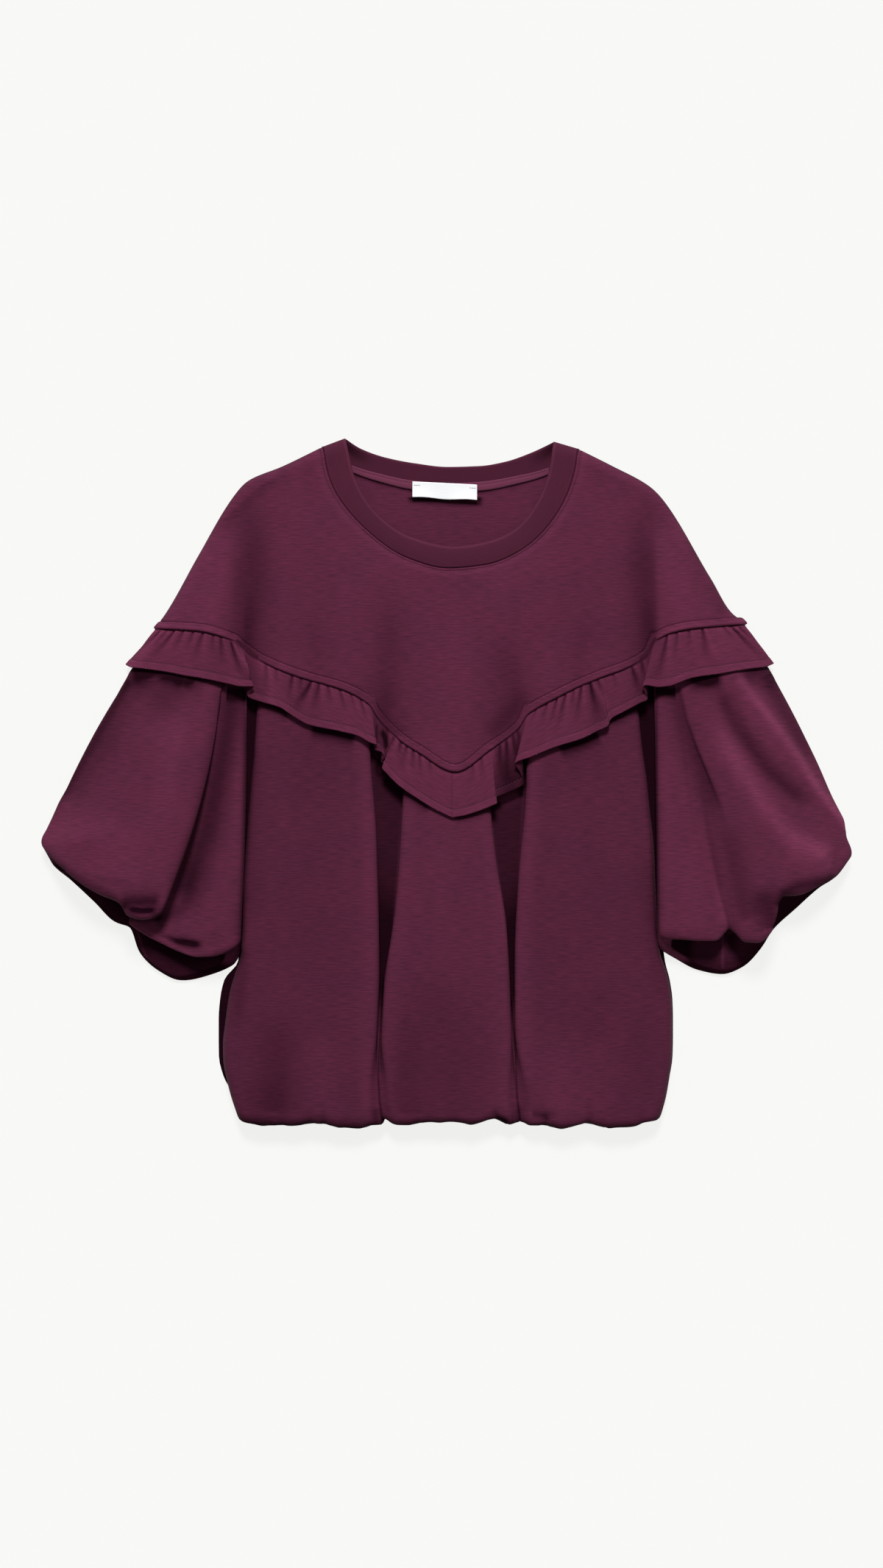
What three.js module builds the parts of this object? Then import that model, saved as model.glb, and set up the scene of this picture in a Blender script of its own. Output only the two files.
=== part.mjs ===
// A women's knit top with a dropped yoke, a gathered ruffle in the yoke seam and bubble hems, laid flat.
// Millimetres: +X across the garment, +Y towards the neck, +Z up from the surface it lies on (z = 0).
import * as THREE from "three";

// ---- Driving sizes ----
const CLOTH = 1.5; // wall of the heavy cotton knit
const RUFFLE_CLOTH = 1.2; // the ruffle is a single, softer layer
const RIB = 2.4; // the neckband is folded double
const TRIM = 1.0; // neck tape and label
const SEWN = 0.4; // clearance between pieces that are sewn together
const BACK_SEAM_GAP = 0.5; // the back pieces meet edge to edge
const TUCK = 5; // how far an edge runs in under the yoke
const BACK = CLOTH / 2; // middle of the walls that lie on the surface
const NECK_HEIGHT = 11; // middle of the front neckband
// The front hem's turned-in return: how far its roll stands out, how far up inside it runs,
// the height it lies at, and how much narrower it is drawn than the panel.
const BODY_CUFF = { roll: 4, depth: 28, height: 12, drawnIn: 0.955, tapers: 0.985 };
const BACK_CUFF = { roll: 2.6, hemY: -300, drawnIn: 0.085 };
const SLEEVE_CUFF = { roll: 4, depth: 34, level: 13 }; // the sleeve hem's return draws in to a level

// ---- Curves through short tables ----

// A smooth function through rows (at, value) that never overshoots between them.
function smooth(at, value) {
  const n = at.length;
  const slope = [];
  const tangent = new Array(n).fill(0);
  for (let i = 0; i < n - 1; i++) {
    slope.push((value[i + 1] - value[i]) / (at[i + 1] - at[i]));
  }
  for (let i = 1; i < n - 1; i++) {
    if (slope[i - 1] * slope[i] > 0) {
      tangent[i] = (2 * slope[i - 1] * slope[i]) / (slope[i - 1] + slope[i]);
    }
  }
  tangent[0] = slope[0];
  tangent[n - 1] = slope[n - 2];
  return (q) => {
    const x = Math.min(Math.max(q, at[0]), at[n - 1]);
    let i = 0;
    while (i < n - 2 && x > at[i + 1]) i++;
    const h = at[i + 1] - at[i];
    const t = (x - at[i]) / h;
    return (
      value[i] * (1 + 2 * t) * (1 - t) ** 2 +
      tangent[i] * h * t * (1 - t) ** 2 +
      value[i + 1] * t * t * (3 - 2 * t) +
      tangent[i + 1] * h * t * t * (t - 1)
    );
  };
}

const column = (rows, name) => rows.map((row) => row[name]);

// y (or any named column) as a function of another column.
const table = (rows, from, to) => smooth(column(rows, from), column(rows, to));

// A route through points of any dimension, run from 0 to 1 by its length.
function route(points) {
  const at = [0];
  for (let i = 1; i < points.length; i++) {
    at.push(at[i - 1] + Math.hypot(...points[i].map((c, k) => c - points[i - 1][k])));
  }
  const length = at[at.length - 1];
  const run = points[0].map((_, k) => smooth(at.map((a) => a / length), points.map((p) => p[k])));
  return (s) => run.map((f) => f(s));
}

const mix = (a, b, t) => a + (b - a) * t;
const mixed = (p, q, t) => p.map((c, k) => mix(c, q[k], t));
const ease = (t) => {
  const c = Math.min(Math.max(t, 0), 1);
  return c * c * (3 - 2 * c);
};
const steps = (n, from = 0, to = 1) => Array.from({ length: n + 1 }, (_, i) => mix(from, to, i / n));
const bump = (x, middle, reach) => Math.exp(-(((x - middle) / reach) ** 2));

// A sheet over four edges: two across (near, far) and two along (left, right).
function between(near, far, left, right) {
  const corner = (s, t) => mixed(mixed(near(0), near(1), s), mixed(far(0), far(1), s), t);
  return (s, t) => {
    const across = mixed(near(s), far(s), t);
    const along = mixed(left(t), right(t), s);
    return across.map((c, k) => c + along[k] - corner(s, t)[k]);
  };
}

// ---- Cloth: a closed wall on both sides of a grid of points ----

const minus = (p, q) => [p[0] - q[0], p[1] - q[1], p[2] - q[2]];
const cross = (a, b) => [a[1] * b[2] - a[2] * b[1], a[2] * b[0] - a[0] * b[2], a[0] * b[1] - a[1] * b[0]];
const dot = (a, b) => a[0] * b[0] + a[1] * b[1] + a[2] * b[2];
const unit = (a) => {
  const l = Math.hypot(...a) || 1;
  return a.map((c) => c / l);
};

// grid[i][j] is the cloth's middle; the wall has half its thickness on each side.
// A ring joins its last line of points to its first.
function clothWall(name, grid, thickness, material, ring = false) {
  const n = grid.length;
  const m = grid[0].length;
  const line = (i) => grid[ring ? (i + n) % n : Math.min(Math.max(i, 0), n - 1)];
  const vertices = [[], []];
  for (let i = 0; i < n; i++) {
    for (let j = 0; j < m; j++) {
      const across = minus(line(i + 1)[j], line(i - 1)[j]);
      const along = minus(grid[i][Math.min(j + 1, m - 1)], grid[i][Math.max(j - 1, 0)]);
      const normal = unit(cross(across, along));
      [1, -1].forEach((side, k) => {
        vertices[k].push(grid[i][j].map((c, axis) => c + (side * normal[axis] * thickness) / 2));
      });
    }
  }
  const id = (side, i, j) => side * n * m + ((i + n) % n) * m + j;
  const faces = [];
  const quad = (a, b, c, d) => faces.push([a, b, c], [a, c, d]);
  const spans = ring ? n : n - 1;
  for (let i = 0; i < spans; i++) {
    for (let j = 0; j < m - 1; j++) {
      quad(id(0, i, j), id(0, i + 1, j), id(0, i + 1, j + 1), id(0, i, j + 1));
      quad(id(1, i, j), id(1, i, j + 1), id(1, i + 1, j + 1), id(1, i + 1, j));
    }
    quad(id(0, i, 0), id(1, i, 0), id(1, i + 1, 0), id(0, i + 1, 0));
    quad(id(0, i, m - 1), id(0, i + 1, m - 1), id(1, i + 1, m - 1), id(1, i, m - 1));
  }
  if (!ring) {
    for (let j = 0; j < m - 1; j++) {
      quad(id(0, 0, j), id(0, 0, j + 1), id(1, 0, j + 1), id(1, 0, j));
      quad(id(0, n - 1, j), id(1, n - 1, j), id(1, n - 1, j + 1), id(0, n - 1, j + 1));
    }
  }
  const points = vertices.flat();
  const volume = faces.reduce((v, [a, b, c]) => v + dot(points[a], cross(points[b], points[c])), 0);
  const index = volume > 0 ? faces.flat() : faces.flatMap(([a, b, c]) => [a, c, b]);
  const geometry = new THREE.BufferGeometry();
  geometry.setAttribute("position", new THREE.Float32BufferAttribute(points.flat(), 3));
  geometry.setIndex(index);
  geometry.computeVertexNormals();
  const mesh = new THREE.Mesh(geometry, material);
  mesh.name = name;
  return mesh;
}

// The grid of a surface over two lists of parameters.
const sampled = (surface, us, vs) => us.map((u) => vs.map((v) => surface(u, v)));

// ---- Materials ----
const knit = (name, color, roughness) => {
  const material = new THREE.MeshStandardMaterial({ color, roughness, metalness: 0, side: THREE.DoubleSide });
  material.name = name;
  return material;
};
const plumKnit = knit("plum cotton knit", 0x5e2a41, 0.85);
const plumRuffle = knit("plum ruffle knit", 0x612c44, 0.85);
const plumRib = knit("plum rib knit", 0x4f2337, 0.9);
const plumTape = knit("plum neck tape", 0x5c2e42, 0.8);
const whiteSatin = knit("white satin label", 0xf4f6f8, 0.45);

// ---- Outlines in plan ----

// The seam at the bottom of the front yoke, from the wearer's right arm to the left one.
const YOKE_SEAM = [
  { x: -267, y: 142 }, // arm's outer edge
  { x: -228, y: 140 },
  { x: -196, y: 131 },
  { x: -185, y: 122 }, // armpit fold
  { x: -174, y: 114 },
  { x: -126, y: 95 },
  { x: -97, y: 87 },
  { x: -72, y: 73 },
  { x: -64, y: 60 }, // first pleat
  { x: -47, y: 43 },
  { x: -26, y: 29 },
  { x: 7, y: 12 }, // point of the V
  { x: 39, y: 32 },
  { x: 64, y: 50 }, // second pleat
  { x: 73, y: 64 },
  { x: 102, y: 81 },
  { x: 133, y: 95 },
  { x: 180, y: 115 },
  { x: 189, y: 130 }, // armpit fold
  { x: 203, y: 138 },
  { x: 222, y: 142 },
  { x: 272, y: 146 },
];
const yokeSeam = table(YOKE_SEAM, "x", "y");
const ARM_LEFT = -267;
const ARM_RIGHT = 272;
const ARMPIT_LEFT = -184;
const ARMPIT_RIGHT = 188;

// The seam between the yoke and the neckband, at the front and at the back.
const frontNeckSeam = route([
  [-113, 307], [-110, 288], [-103, 268], [-74, 232], [-36, 206], [0, 197],
  [34, 200], [72, 217], [104, 255], [115, 285], [118, 305],
]);
const backNeckSeam = route([
  [-113, 307], [-88, 288], [-62, 280], [-33, 274], [0, 271.5], [32, 273],
  [62, 278], [90, 285], [118, 305],
]);
// The neckband's free edge.
const frontNeckEdge = route([
  [-94, 314], [-91, 300], [-86, 280], [-66, 246], [-32, 223], [6, 215],
  [38, 220], [63, 232], [84, 260], [93, 285], [97, 311],
]);
const backNeckEdge = route([
  [-94, 314], [-80, 305], [-58, 297], [-31, 291.5], [0, 288], [30, 289],
  [53, 293], [76, 301], [97, 311],
]);
// Shoulder and upper arm, from the neck to the ruffle.
const leftArm = route([
  [-113, 307], [-150, 289], [-181, 276], [-192, 265], [-227, 207], [-252, 162],
  [-260, 150], [-267, 142],
]);
const rightArm = route([
  [118, 305], [148, 290], [183, 271], [196, 258], [239, 187], [261, 153],
  [268, 150], [272, 146],
]);

// The body's sides at the surface it lies on, top to bottom.
const bodyLeft = table(
  [
    { y: -304, x: -191 },
    { y: -285, x: -198 },
    { y: -243, x: -208 },
    { y: -215, x: -208 },
    { y: -190, x: -206 },
    { y: -176, x: -202 },
    { y: -158, x: -189 },
    { y: -136, x: -187.5 },
    { y: -63, x: -184 },
    { y: 4, x: -177.5 },
    { y: 107, x: -177.5 },
  ],
  "y",
  "x",
);
const bodyRight = table(
  [
    { y: -304, x: 193 },
    { y: -288, x: 198 },
    { y: -237, x: 204.5 },
    { y: -206, x: 204.5 },
    { y: -175, x: 201 },
    { y: -155, x: 193.5 },
    { y: -131, x: 189.5 },
    { y: -42, x: 183.5 },
    { y: -1, x: 180 },
    { y: 107, x: 178 },
  ],
  "y",
  "x",
);

// ---- Heights ----

// The front yoke's middle along its bottom seam: it dips where the cloth folds in at each armpit.
const SEAM = { height: 12, chestRise: 3, armpitDip: 3.5, dipReach: 22 };
const seamHeight = (x) => {
  const dips = bump(x, ARMPIT_LEFT, SEAM.dipReach) + bump(x, ARMPIT_RIGHT, SEAM.dipReach);
  return SEAM.height + SEAM.chestRise * ease((150 - Math.abs(x)) / 90) - SEAM.armpitDip * dips;
};
const RUFFLE_DROP = (CLOTH + RUFFLE_CLOTH) / 2 + SEWN;
const PANEL_DROP = RUFFLE_DROP + (CLOTH + RUFFLE_CLOTH) / 2 + SEWN;
const panelTop = (x) => seamHeight(x) - PANEL_DROP;
// The yoke rolls over at the arm's edge, so what hangs from it there starts just below its seam.
const ARM_ROLL = 16;
const ARM_EDGE_TUCK = -1.4;
const underYoke = (x) => {
  const fromEdge = Math.min(x - ARM_LEFT, ARM_RIGHT - x);
  return fromEdge <= 0 ? 0 : Math.sqrt(1 - (1 - Math.min(1, fromEdge / ARM_ROLL)) ** 2);
};
const tuckAt = (x) => {
  const fromEdge = Math.min(x - ARM_LEFT, ARM_RIGHT - x);
  return mix(ARM_EDGE_TUCK, TUCK, ease((fromEdge - ARM_ROLL) / 8));
};

// ---- Yokes ----
const CHEST_BULGE = 7; // how far the yoke's middle stands above its edges
const ARMPIT_VALLEY = 6; // depth of the soft fold that runs up from each armpit

function frontYoke() {
  const clear = SEWN + 1.1;
  const neck = (s) => {
    const [x, y] = frontNeckSeam(s);
    const out = unit([x - 2, y - 330, 0]);
    return [x + out[0] * clear, y + out[1] * clear];
  };
  const seam = (s) => {
    const x = mix(ARM_LEFT, ARM_RIGHT, s);
    return [x, yokeSeam(x)];
  };
  const plan = between(neck, seam, leftArm, rightArm);
  const rolled = (s) => Math.sqrt(1 - (1 - Math.min(1, s / 0.03)) ** 2);
  const surface = (s, t) => {
    const [x, y] = plan(s, t);
    const flat = mix(NECK_HEIGHT, seamHeight(x), ease(t));
    const chest = CHEST_BULGE * Math.sin(Math.PI * t) ** 0.8 * ease(Math.min(s, 1 - s) / 0.2);
    const dip = (armpit, chestSide) => {
      const away = (x - armpit) * chestSide;
      return bump(away, 0, away > 0 ? 40 : 16) * ease((285 - y) / 150);
    };
    const dips = dip(ARMPIT_LEFT + 3, 1) + dip(ARMPIT_RIGHT - 3, -1);
    const valley = ARMPIT_VALLEY * Math.sin(Math.PI * t) * dips;
    const edge = BACK + CLOTH + SEWN;
    return [x, y, mix(edge, flat + chest - valley, rolled(s) * rolled(1 - s))];
  };
  const share = (x) => (x - ARM_LEFT) / (ARM_RIGHT - ARM_LEFT);
  const betweenRows = [-252, -240, -212, -160, -143, -111, -85, -37, -10, 23, 88, 117, 148, 164, 238, 256];
    const atRoll = [0.004, 0.014, 0.986, 0.996];
  const stops = [...column(YOKE_SEAM, "x"), ...betweenRows].map(share);
  const us = [...atRoll, ...stops].sort((a, b) => a - b);
  return clothWall("front_yoke", sampled(surface, us, steps(9)), CLOTH, plumKnit);
}

// The back yoke's seam runs straight across, and straight up each arm.
const BACK_SEAM = { armpit: 118, leftArm: 141, rightArm: 145 };
const backSeam = (x) => {
  const left = (ARMPIT_LEFT - x) / (ARMPIT_LEFT - ARM_LEFT);
  const right = (x - ARMPIT_RIGHT) / (ARM_RIGHT - ARMPIT_RIGHT);
  const { armpit, leftArm: leftEnd, rightArm: rightEnd } = BACK_SEAM;
  return mix(mix(armpit, leftEnd, Math.max(0, left)), rightEnd, Math.max(0, right));
};

function backYoke() {
  const from = ARM_LEFT + CLOTH;
  const to = ARM_RIGHT - CLOTH;
  const neck = (s) => {
    const [x, y] = backNeckSeam(mix(0.025, 0.975, s));
    const out = unit([x - 2, y - 400, 0]);
    return [x + out[0] * 1.8, y + out[1] * 1.8];
  };
  const side = (arm, corner, inset) => {
    return route([corner, ...steps(10, 0.1, 1).map((t) => [arm(t)[0] + inset, arm(t)[1] - 1])]);
  };
  const seam = (s) => {
    const x = mix(from, to, s);
    return [x, backSeam(x)];
  };
  const plan = between(neck, seam, side(leftArm, neck(0), 1.5), side(rightArm, neck(1), -1.5));
  const surface = (s, t) => [...plan(s, t), BACK];
  const leftPit = (ARMPIT_LEFT - from) / (to - from);
  const rightPit = (ARMPIT_RIGHT - from) / (to - from);
  const underArms = [steps(4, 0, leftPit), steps(14, leftPit, rightPit), steps(4, rightPit, 1)];
  const us = [...new Set(underArms.flat())];
  return clothWall("back_yoke", sampled(surface, us, steps(4)), CLOTH, plumKnit);
}

// ---- Neckband, tape and label ----

function neckband() {
  const backHeight = RIB / 2;
  const middle = (NECK_HEIGHT + backHeight) / 2;
  const swing = (NECK_HEIGHT - backHeight) / 2;
  const turned = (s) => Math.sqrt(1 - (1 - Math.min(1, Math.min(s, 1 - s) / 0.035)) ** 2);
  const strip = (edge, seam, side) => (s) => {
    const z = middle + side * swing * turned(s);
    return [0, 0.5, 1].map((t) => [...mixed(edge(s), seam(s), t), z]);
  };
  const near = [0.003, 0.012, 0.03, 0.06];
  const frontStops = [...near, ...steps(15, 0.1, 0.9), ...near.map((s) => 1 - s).reverse()];
  const backStops = [...near, ...steps(9, 0.1, 0.9), ...near.map((s) => 1 - s).reverse()];
  const front = frontStops.map(strip(frontNeckEdge, frontNeckSeam, 1));
  const back = backStops.map(strip(backNeckEdge, backNeckSeam, -1)).reverse();
  return clothWall("neckband", [...front, ...back], RIB, plumRib, true);
}

// A strip that follows the back neck seam, from one share of it to another, at a height.
function alongNeck(from, to, drop, depth, height) {
  return (s, t) => {
    const [x, y] = backNeckSeam(mix(from, to, s));
    return [x, y - drop - depth * t, height];
  };
}

const TAPE = { from: 0.13, to: 0.87, drop: 1.2, width: 5 };
function neckTape() {
  const height = CLOTH + SEWN + TRIM / 2;
  const strip = alongNeck(TAPE.from, TAPE.to, TAPE.drop, TAPE.width, height);
  return clothWall("neck_tape", sampled(strip, steps(18), steps(1)), TRIM, plumTape);
}

const LABEL = { left: -32, right: 26.5, topLeft: 275.5, topRight: 272.6, drop: 14, curl: 1.6 };
function label() {
  const height = CLOTH + 2 * SEWN + 1.5 * TRIM;
  const surface = (s, t) => {
    const x = mix(LABEL.left, LABEL.right, s);
    const y = mix(LABEL.topLeft, LABEL.topRight, s) - LABEL.drop * t;
    const curl = LABEL.curl * t * t * (0.6 + 0.4 * Math.sin(8 * s + 1));
    return [x, y + 0.5 * t * Math.sin(9 * s), height + curl];
  };
  return clothWall("label", sampled(surface, steps(10), steps(3)), TRIM, whiteSatin);
}

// ---- Body ----

// Edges of the three front panels: x at each y. The pleats between them close towards the hem.
const panelEdge = {
  firstRight: table(
    [
      { y: -304, x: -59 }, { y: -285, x: -64 }, { y: -223, x: -63.5 }, { y: -170, x: -61.5 },
      { y: -49, x: -64 }, { y: 35, x: -70 }, { y: 75, x: -71 },
    ],
    "y",
    "x",
  ),
  middleLeft: table(
    [
      { y: -304, x: -56 }, { y: -285, x: -61 }, { y: -211, x: -60.5 }, { y: -173, x: -55 },
      { y: -122, x: -48 }, { y: -49, x: -43 }, { y: 10, x: -41 }, { y: 45, x: -45 },
    ],
    "y",
    "x",
  ),
  middleRight: table(
    [
      { y: -304, x: 63 }, { y: -259, x: 60 }, { y: -237, x: 58 }, { y: -173, x: 56 },
      { y: -125, x: 52 }, { y: -71, x: 45 }, { y: -25, x: 40 }, { y: 35, x: 38 },
    ],
    "y",
    "x",
  ),
  lastLeft: table(
    [
      { y: -304, x: 66 }, { y: -259, x: 63 }, { y: -237, x: 61 }, { y: -160, x: 61.5 },
      { y: -83, x: 64 }, { y: -10, x: 70 }, { y: 20, x: 71 }, { y: 60, x: 72 },
    ],
    "y",
    "x",
  ),
};

// The front hem's bottom edge, scalloped by its gathers.
const frontHem = table(
  [
    { x: -191, y: -306 }, { x: -176, y: -309 }, { x: -140, y: -310 }, { x: -112, y: -307 },
    { x: -100, y: -311 }, { x: -85, y: -313 }, { x: -70, y: -309.5 }, { x: -62, y: -309 },
    { x: -57, y: -304 }, { x: -50, y: -308.5 }, { x: -40, y: -310 }, { x: -26, y: -307 },
    { x: 0, y: -306 }, { x: 20, y: -309 }, { x: 36, y: -303.5 }, { x: 46, y: -304 },
    { x: 56, y: -309 }, { x: 68, y: -306.5 }, { x: 78, y: -310 }, { x: 96, y: -309.5 },
    { x: 112, y: -313 }, { x: 128, y: -308 }, { x: 142, y: -311.5 }, { x: 174, y: -311 },
    { x: 184, y: -306.5 }, { x: 194, y: -305 },
  ],
  "x",
  "y",
);
// Height of the panels down the body, as a share from the seam to the hem.
const bodyLoft = table(
  [
    { at: 0, z: 0 },
    { at: 0.14, z: 3 },
    { at: 0.4, z: 7 },
    { at: 0.8, z: 11 },
    { at: 1, z: 9 },
  ],
  "at",
  "z",
);
// Height of the cloth at the bottom of a pleat.
const pleatFloor = table(
  [
    { at: 0, z: 3 },
    { at: 0.5, z: 4.5 },
    { at: 0.76, z: 8 },
    { at: 0.84, z: 11 },
    { at: 0.92, z: 15.4 }, // above the hem's return from here on
    { at: 1, z: 16 },
  ],
  "at",
  "z",
);
// How far a pleat runs in behind its panels.
const pleatDepth = table(
  [
    { at: 0, w: 11 },
    { at: 0.45, w: 10 },
    { at: 0.72, w: 4 },
    { at: 0.85, w: 0 },
    { at: 1, w: 0 },
  ],
  "at",
  "w",
);

// One lengthwise line of a pleat's wall: inset from the panel's edge, how much of the
// pleat's depth it runs in behind the panel, and how far down it lies. At the hem the wall
// opens into a shallow groove, where the lines lie at `groove` from its middle.
const PLEAT_WALL = [
  { inset: 6, behind: 0, down: 0, groove: 11.5 },
  { inset: 2, behind: 0, down: 0.07, groove: 9.8 },
  { inset: 0.9, behind: 0, down: 0.22, groove: 8.2 },
  { inset: 0.8, behind: 0.12, down: 0.4, groove: 6.8 },
  { inset: 0.7, behind: 0.6, down: 0.48, groove: 5.4 },
  { inset: 0.6, behind: 1, down: 0.62, groove: 4 },
  { inset: 0.5, behind: 1, down: 0.86, groove: 2.6 },
  { inset: 0.2, behind: 0.55, down: 1, groove: 1.3 },
];
const GROOVE_HALF = 12.5;
const PANEL_HEIGHT = 17.5; // of the panels from halfway down, before their loft
const LOFT_SHARE = 0.4;
const PANEL_CROWN = 10; // how much a panel domes between its edges
const SIDE_TURN = 11; // how far in the side's roll reaches
const pleatOpening = (v) => ease((v - 0.76) / 0.2);

// Lengthwise lines of the front: each gives x at a y, and its height at a share of the length.
function frontLines() {
  const top = (x, v) => mix(panelTop(x), PANEL_HEIGHT, ease(v / 0.5)) + LOFT_SHARE * bodyLoft(v);
  const lines = [];
  const side = (outline, sign) => {
    return [0, 0.12, 0.3, 0.55, 0.8, 1].map((turn) => {
      const angle = (turn * Math.PI) / 2;
      return {
        x: (y) => outline(y) + sign * (CLOTH / 2 + SIDE_TURN * (1 - Math.cos(angle))),
        z: (x, v) => mix(BACK + CLOTH / 2 + SEWN, top(x, v), Math.sin(angle) ** 0.9),
      };
    });
  };
  const panel = (from, to) => {
    return [0.12, 0.3, 0.5, 0.7, 0.88].map((share) => ({
      x: (y) => mix(from(y), to(y), share),
      z: (x, v) => top(x, v) + PANEL_CROWN * share * (1 - share) * ease(v / 0.3),
    }));
  };
  const wall = (edge, other, sign) => {
    return PLEAT_WALL.map(({ inset, behind, down, groove }) => ({
      x: (y, v) => {
        const folded = edge(y) + sign * (inset + behind * pleatDepth(v));
        return mix(folded, (edge(y) + other(y)) / 2 + sign * groove, pleatOpening(v));
      },
      z: (x, v) => {
        const grooveDown = (1 + Math.cos((Math.PI * groove) / GROOVE_HALF)) / 2;
        return mix(top(edge(0), v), pleatFloor(v), mix(down, grooveDown, pleatOpening(v)));
      },
    }));
  };
  const floor = (left, right) => ({
    x: (y) => (left(y) + right(y)) / 2,
    z: (x, v) => pleatFloor(v),
  });
  const { firstRight, middleLeft, middleRight, lastLeft } = panelEdge;
  const leftCrown = (y) => bodyLeft(y) + 12;
  const rightCrown = (y) => bodyRight(y) - 12;
  lines.push(...side(bodyLeft, 1), ...panel(leftCrown, (y) => firstRight(y) - 9));
  lines.push(...wall(firstRight, middleLeft, -1), floor(firstRight, middleLeft));
  lines.push(...wall(middleLeft, firstRight, 1).reverse());
  lines.push(...panel((y) => middleLeft(y) + 9, (y) => middleRight(y) - 9));
  lines.push(...wall(middleRight, lastLeft, -1), floor(middleRight, lastLeft));
  lines.push(...wall(lastLeft, middleRight, 1).reverse());
  lines.push(...panel((y) => lastLeft(y) + 9, rightCrown), ...side(bodyRight, -1).reverse());
  return lines;
}

// Each lengthwise line is carried down to the hem, round it and back up inside.
function frontBody() {
  const shares = [0, 0.05, 0.12, 0.22, 0.34, 0.46, 0.57, 0.65, 0.7, 0.76, 0.84, 0.92, 1];
  const lines = frontLines();
  const grid = lines.map((line, i) => {
    const topX = line.x(60, 0);
    const topY = yokeSeam(topX) + TUCK;
    const hemX = line.x(-304, 1);
    const hemY = frontHem(hemX) + BODY_CUFF.roll + CLOTH / 2;
    const points = shares.map((v) => {
      const y = mix(topY, hemY, v);
      const x = line.x(y, v);
      return [x, y, line.z(x, v)];
    });
    const [x, y, z] = points[points.length - 1];
    const fromSide = Math.min(i, lines.length - 1 - i);
    const held = ease(fromSide / 6);
    const inside = [x * BODY_CUFF.drawnIn, y, mix(z, BODY_CUFF.height, held)];
    for (const angle of [0.3, 0.5, 0.7, 1]) {
      const turn = angle * Math.PI;
      const point = mixed([x, y, z], inside, (1 - Math.cos(turn)) / 2);
      points.push([point[0], y - BODY_CUFF.roll * Math.sin(turn), point[2]]);
    }
    points.push([inside[0], y + BODY_CUFF.depth / 2, inside[2]]);
    points.push([inside[0] * BODY_CUFF.tapers, y + BODY_CUFF.depth, inside[2]]);
    return points;
  });
  return clothWall("front_body", grid, CLOTH, plumKnit);
}

function backBody() {
  const { roll, hemY, drawnIn } = BACK_CUFF;
  const surface = (s, v) => {
    const top = mix(-181, 183, s);
    const topY = backSeam(top) - BACK_SEAM_GAP;
    const y = mix(topY, hemY, v);
    const inset = 1.2 + 7 * ease((hemY + 40 - y) / 40);
    const x = mix(bodyLeft(y) + inset, bodyRight(y) - inset, s);
    return [x, y, BACK];
  };
  const grid = steps(16).map((s) => {
    const points = [0, 0.3, 0.6, 0.655, 0.7, 0.75, 0.83, 0.91, 1].map((v) => surface(s, v));
    const [x, y] = points[points.length - 1];
    const tucked = (t) => mix(x, 0, drawnIn * t);
    for (const angle of [0.25, 0.5, 0.75, 1]) {
      const turn = angle * Math.PI;
      points.push([tucked(angle), y - roll * Math.sin(turn), BACK + roll * (1 - Math.cos(turn))]);
    }
    points.push([tucked(1), y + BODY_CUFF.depth, BACK + 2 * roll]);
    return points;
  });
  return clothWall("back_body", grid, CLOTH, plumKnit);
}

// ---- Sleeves ----

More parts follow.
